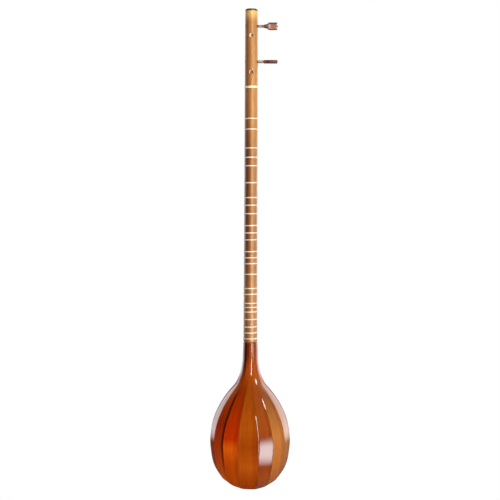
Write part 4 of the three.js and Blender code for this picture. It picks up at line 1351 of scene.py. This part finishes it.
# %% Coils and strings as rules
STEPS_PER_TURN = 32
bench, given = new_rule("coil_rule", Radius=FLOAT, Turns=FLOAT, Pitch=FLOAT, Bottom=FLOAT, Start=FLOAT,
                        Sense=FLOAT, Wire_Diameter=FLOAT)
path, share = counted_line(bench, given["Turns"] * STEPS_PER_TURN + 1)
turn = given["Start"] + given["Sense"] * share * given["Turns"] * (2 * math.pi)
height = given["Bottom"] + share * given["Turns"] * given["Pitch"]
coil = place_at(bench, path, turn.cosine() * given["Radius"], turn.sine() * given["Radius"], height)
COIL_RULE = close_rule(bench, cord(bench, coil, given["Wire Diameter"], 8), given)

bench, given = new_rule("wire_rule", Wire_Diameter=FLOAT)
path = bench.add("GeometryNodeMeshToCurve", None, {"Mesh": given["Geometry"]})
WIRE_RULE = close_rule(bench, cord(bench, path, given["Wire Diameter"], 12), given)

for index, name in enumerate(PEGS):
    diameter = STRING_DIAMETERS[index]
    route = upper_routes[index]
    inside = peg_frames[name].inverted()
    end, before = inside @ route[-1], inside @ route[-2]
    start = math.atan2(end.y, end.x)
    sense = math.copysign(1, before.to_2d().cross(end.to_2d()))
    pitch = diameter * COIL_CLOSENESS
    turns = float(int(COIL_LENGTH / pitch))
    coil = grow(f"{name}_coil", COIL_RULE, WIRES[index], Radius=coil_radius(diameter), Turns=turns,
                Pitch=pitch, Bottom=COIL_STAND_OFF, Start=start, Sense=sense, Wire_Diameter=diameter)
    coil.transform(peg_frames[name])
    show(f"{name}_coil", coil, WIRES[index], name, WIRE_SLOTS[index], f"{name}_winding", crease=60)
print("coils:", len(PEGS), "the last with", int(turns), "turns")

# %% [markdown]
# ## Strings
# A string loops round its pin, lies on the bridge and on the nut, ducks under the binding and climbs
# to its peg. Its path is a list of points, joined and given its thickness by the wire rule.

# %% Strings
PIN_RADIUS = 0.8 * MM
PIN_LENGTH = 2.6 * MM
PIN_SPACING = 5.6 * MM
HOLDER_RISE = 1.5 * MM
HOLDER_TOP = bowl_point(1, 1).z - GLUE_LINE
PIN_HEIGHT = HOLDER_TOP - 3.2 * MM
LOOP_STEPS, STEPS_ROUND_PIN = 30, 24
LOOP_RISE = 0.6
BRIDGE_PLACE = -STRING_LENGTH
pin_places = [(3 - 2 * index) * PIN_SPACING / 2 for index in range(len(PEGS))]


def loop_route(index):
    """Round the pin and up to the bridge."""
    diameter = STRING_DIAMETERS[index]
    reach = PIN_RADIUS + diameter / 2 + 0.02 * MM
    front = -(HOLDER_RISE + PIN_LENGTH / 2)
    route = []
    for step in range(LOOP_STEPS + 1):
        angle = math.pi / 3 + 2 * math.pi * step / STEPS_ROUND_PIN
        x = pin_places[index] + reach * math.sin(angle)
        y = front + diameter * (LOOP_RISE * step / LOOP_STEPS - LOOP_RISE / 2)
        route.append(Vector((x, y, PIN_HEIGHT + reach * math.cos(angle))))
    on_bridge = BRIDGE_HEIGHT - NOTCH_DEPTH + diameter / 2
    for ahead in (-BRIDGE_THICKNESS / 2, BRIDGE_THICKNESS / 2):
        route.append(Vector((bridge_places[index], -on_bridge, BRIDGE_PLACE + ahead)))
    return route


def softened(route, radius=0.7 * MM, steps=5):
    """A route with its sharp bends turned into short curves."""
    smooth = [route[0]]
    for before, corner, after in zip(route, route[1:], route[2:]):
        back, ahead = before - corner, after - corner
        reach = min(radius, back.length * 0.45, ahead.length * 0.45)
        start, end = corner + back.normalized() * reach, corner + ahead.normalized() * reach
        for step in range(steps + 1):
            share = step / steps
            smooth.append(start * (1 - share) ** 2 + corner * 2 * share * (1 - share) + end * share ** 2)
    return smooth + [route[-1]]


for index in range(len(PEGS)):
    name = f"string_{index + 1}"
    route = softened(loop_route(index) + upper_routes[index])
    line = bpy.data.meshes.new(name)
    line.from_pydata([tuple(point) for point in route], [(i, i + 1) for i in range(len(route) - 1)], [])
    wire = grow(f"{name}_wire", WIRE_RULE, WIRES[index], start=line, Wire_Diameter=STRING_DIAMETERS[index])
    show(f"{name}_wire", wire, WIRES[index], INSTRUMENT, WIRE_SLOTS[index], name, crease=60)
print("strings:", len(PEGS), "with", len(route), "points on the last")

# %% [markdown]
# ## Flat pieces
# The soundboard, the bridge and the nut are all flat outlines given a thickness. A filled curve does
# this: it keeps the holes open and rounds the edges with its own bevel.

# %% Flat pieces


def flat_piece(name, outlines, thickness, bevel, matrix):
    """A plate with the given outline and holes, half its thickness to each side of its plane."""
    curve = bpy.data.curves.new(name, "CURVE")
    curve.dimensions = "2D"
    curve.fill_mode = "BOTH"
    curve.extrude = thickness / 2 - bevel
    curve.bevel_depth = bevel
    curve.bevel_resolution = 2
    curve.offset = -bevel
    for outline in outlines:
        spline = curve.splines.new("POLY")
        spline.points.add(len(outline) - 1)
        for point, (x, y) in zip(spline.points, outline):
            point.co = (x, y, 0, 1)
        spline.use_cyclic_u = True
    mesh = put_right(plain(new_object(name, curve)))
    mesh.transform(matrix)
    return mesh


def arc(centre, radius, start, end, steps):
    """Points of an arc, from one angle to another."""
    turns = [start + (end - start) * step / steps for step in range(steps + 1)]
    return [(centre[0] + radius * math.cos(a), centre[1] + radius * math.sin(a)) for a in turns]


HOLE_RADIUS = 1.3 * MM
HOLE_POINTS = 32


def hole_group(x, z, radius, count):
    """A ring of small holes round one in the middle."""
    turns = [2 * math.pi * i / count for i in range(count)]
    centres = [(x, z)] + [(x + radius * math.cos(a), z + radius * math.sin(a)) for a in turns]
    last = HOLE_POINTS - 1
    return [arc(centre, HOLE_RADIUS, 0, 2 * math.pi * last / HOLE_POINTS, last) for centre in centres]


RIM_STEPS = 110
rim = [bowl_point(step / RIM_STEPS, 1) for step in range(RIM_STEPS + 1)]
outline = [(point.x, point.z) for point in rim] + [(-point.x, point.z) for point in reversed(rim)]
outlines = [outline] + hole_group(0, BOWL_TOP - 128 * MM, 7.5 * MM, 6)
for side in (-1, 1):
    outlines += hole_group(side * 31 * MM, BOWL_TOP - 146 * MM, 5 * MM, 4)
upright = Matrix.Translation((0, RIM_PLANE / 2, 0)) @ Matrix.Rotation(math.pi / 2, 4, "X")
board = flat_piece("soundboard_plate", outlines, RIM_PLANE, 0.25 * MM, upright)
show("soundboard_plate", board, BOARD_WOOD, INSTRUMENT, "soundboard_wood", "soundboard", crease=40)
print("soundboard:", len(outlines) - 1, "holes,", len(board.vertices), "vertices")

# %% Bridge and nut
NOTCH_ROOM = 0.06 * MM
NOTCH_STEPS = 8
NUT_EASE = 0.5 * MM
KNIFE_EASE = 0.02 * MM


def notched_top(places, height, from_x, to_x):
    """A straight top edge from one side to the other, with a round notch for each string."""
    points = []
    side = 1 if to_x > from_x else -1
    for x, diameter in sorted(zip(places, STRING_DIAMETERS), reverse=side < 0):
        half = diameter / 2 + NOTCH_ROOM
        floor_height = height - NOTCH_DEPTH + half
        points.append((x - side * half, height))
        for step in range(NOTCH_STEPS + 1):
            turn = math.pi * step / NOTCH_STEPS
            points.append((x - side * half * math.cos(turn), floor_height - half * math.sin(turn)))
        points.append((x + side * half, height))
    return points


def curved(start, control, end, steps=10):
    """Points of a curve that leaves towards a control point and arrives from it."""
    found = []
    for step in range(1, steps + 1):
        share = step / steps
        a, b, c = (1 - share) ** 2, 2 * share * (1 - share), share ** 2
        found.append(tuple(a * p + b * q + c * r for p, q, r in zip(start, control, end)))
    return found


HALF = BRIDGE_HALF_LENGTH
FOOT = HALF - 12 * MM
SHOULDER = 20 * MM
FOOT_HEIGHT = 2.4 * MM
ARCH = 2.8 * MM
BRIDGE_TAPER = 0.3
shape = [(-HALF, 0.0), (-FOOT, 0.0)] + curved((-FOOT, 0), (0, 2 * ARCH), (FOOT, 0), 16) + [(HALF, 0.0)]
shape += [(HALF, FOOT_HEIGHT)]
shape += curved((HALF, FOOT_HEIGHT), (SHOULDER, FOOT_HEIGHT), (SHOULDER, BRIDGE_HEIGHT))
shape += notched_top(bridge_places, BRIDGE_HEIGHT, SHOULDER, -SHOULDER)
shape += [(-SHOULDER, BRIDGE_HEIGHT)]
shape += curved((-SHOULDER, BRIDGE_HEIGHT), (-SHOULDER, FOOT_HEIGHT), (-HALF, FOOT_HEIGHT))
outward = Matrix(((1, 0, 0, 0), (0, -1, 0, 0), (0, 0, -1, 0), (0, 0, 0, 1)))
place = Matrix.Translation((0, 0, BRIDGE_PLACE)) @ outward
bridge = flat_piece("bridge_carved", [shape], BRIDGE_THICKNESS, KNIFE_EASE, place)
for vert in bridge.vertices:
    rise = -vert.co.y / BRIDGE_HEIGHT
    vert.co.z = BRIDGE_PLACE + (vert.co.z - BRIDGE_PLACE) * (1 - BRIDGE_TAPER * max(rise, 0))
show("bridge_carved", bridge, BRIDGE_WOOD, INSTRUMENT, "bridge_wood", "bridge", crease=35)

shape = [(-NUT_HALF_LENGTH, -NUT_SEAT_DEPTH), (NUT_HALF_LENGTH, -NUT_SEAT_DEPTH)]
shape += arc((NUT_HALF_LENGTH - NUT_EASE, NUT_RISE - NUT_EASE), NUT_EASE, 0, math.pi / 2, 5)
shape += notched_top(nut_places, NUT_RISE, NUT_HALF_LENGTH, -NUT_HALF_LENGTH)
shape += arc((-NUT_HALF_LENGTH + NUT_EASE, NUT_RISE - NUT_EASE), NUT_EASE, math.pi / 2, math.pi, 5)
place = Matrix.Translation((0, 0, NUT_THICKNESS / 2)) @ outward
nut = flat_piece("nut_shaped", [shape], NUT_THICKNESS + GLUE_LINE, KNIFE_EASE, place)
show("nut_shaped", nut, BONE, INSTRUMENT, "bone", "nut", crease=35)
print("bridge and nut:", len(bridge.vertices), "and", len(nut.vertices), "vertices")

# %% [markdown]
# ## String holder
# A small bone block is let into the bowl's end. A box with eased edges is cut to the bowl's own form.
# Its four pins repeat, so a rule sets one pin on each of four places.

# %% String holder
HOLDER_HALF_WIDTH = 12.5 * MM
HOLDER_DEPTH = 12 * MM
HOLDER_LENGTH = 7 * MM


def bowl_form(steps=60, first=20, columns=48):
    """The lower two thirds of the bowl's outer form as one solid."""
    rings = []
    for step in range(first, steps + 1):
        section = section_at(step / steps)
        ring = [bowl_point(step / steps, -1 + side / (columns / 2), section) for side in range(columns + 1)]
        rings.append(ring + [Vector((0, RIM_PLANE, ring[-1].z))])
    return skin("bowl_form", rings)


low_corner = (-HOLDER_HALF_WIDTH, -HOLDER_RISE, HOLDER_TOP - HOLDER_LENGTH)
high_corner = (HOLDER_HALF_WIDTH, HOLDER_DEPTH, HOLDER_TOP)
block = box_mesh("string_holder_block", low_corner, high_corner, 0.6 * MM)
block = cut(block, bowl_form())
show("string_holder_block", block, BONE, INSTRUMENT, "bone", "string_holder", crease=35)

bench, given = new_rule("pins_rule", Count=WHOLE, Spacing=FLOAT, Radius=FLOAT, Length=FLOAT, Front=FLOAT,
                        Height=FLOAT)
sockets = {"Count": given["Count"], "Offset": bench.vector(given["Spacing"])}
row = bench.add("GeometryNodeMeshLine", None, sockets)
sockets = {"Vertices": 24, "Radius": given["Radius"], "Depth": given["Length"]}
pin = bench.add("GeometryNodeMeshCylinder", None, sockets)
sockets = {"Segments": 24, "Rings": 12, "Radius": given["Radius"] * 1.15}
head = bench.add("GeometryNodeMeshUVSphere", None, sockets)
rise = bench.vector(0, 0, given["Length"] * 0.5 - given["Radius"] * 0.4)
lifted = bench.add("GeometryNodeTransform", None, {"Geometry": head, "Translation": rise})
joined = bench.add("GeometryNodeJoinGeometry")
for part in (pin, lifted):
    bench.tree.links.new(part.socket, joined.socket.node.inputs[0])
turned = bench.add("GeometryNodeTransform", None, {"Geometry": joined, "Rotation": (math.pi / 2, 0, 0)})
spread = bench.add("GeometryNodeInstanceOnPoints", None, {"Points": row, "Instance": turned})
start = bench.vector(given["Spacing"] * -1.5, given["Front"], given["Height"])
set_down = bench.add("GeometryNodeTransform", None, {"Geometry": spread, "Translation": start})
PINS_RULE = close_rule(bench, set_down, given)
pins = grow("holder_pins", PINS_RULE, BONE, Count=len(PEGS), Spacing=PIN_SPACING, Radius=PIN_RADIUS,
            Length=PIN_LENGTH + HOLDER_RISE, Front=-(PIN_LENGTH + HOLDER_RISE) / 2, Height=PIN_HEIGHT)
show("holder_pins", pins, BONE, INSTRUMENT, "bone", "string_holder", crease=40)
print("string holder:", len(block.vertices), "vertices, pins:", len(pins.vertices))

# %% [markdown]
# ## Hidden wood
# The neck block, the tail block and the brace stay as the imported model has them. They are only seen
# through the sound holes, and get bare wood.

# %% Hidden wood
for node in ("neck_block", "tail_block", "soundboard_brace"):
    for slot in bpy.data.objects.get(node).material_slots:
        slot.material = INNER_WOOD
print("bare wood on 3 inner pieces")
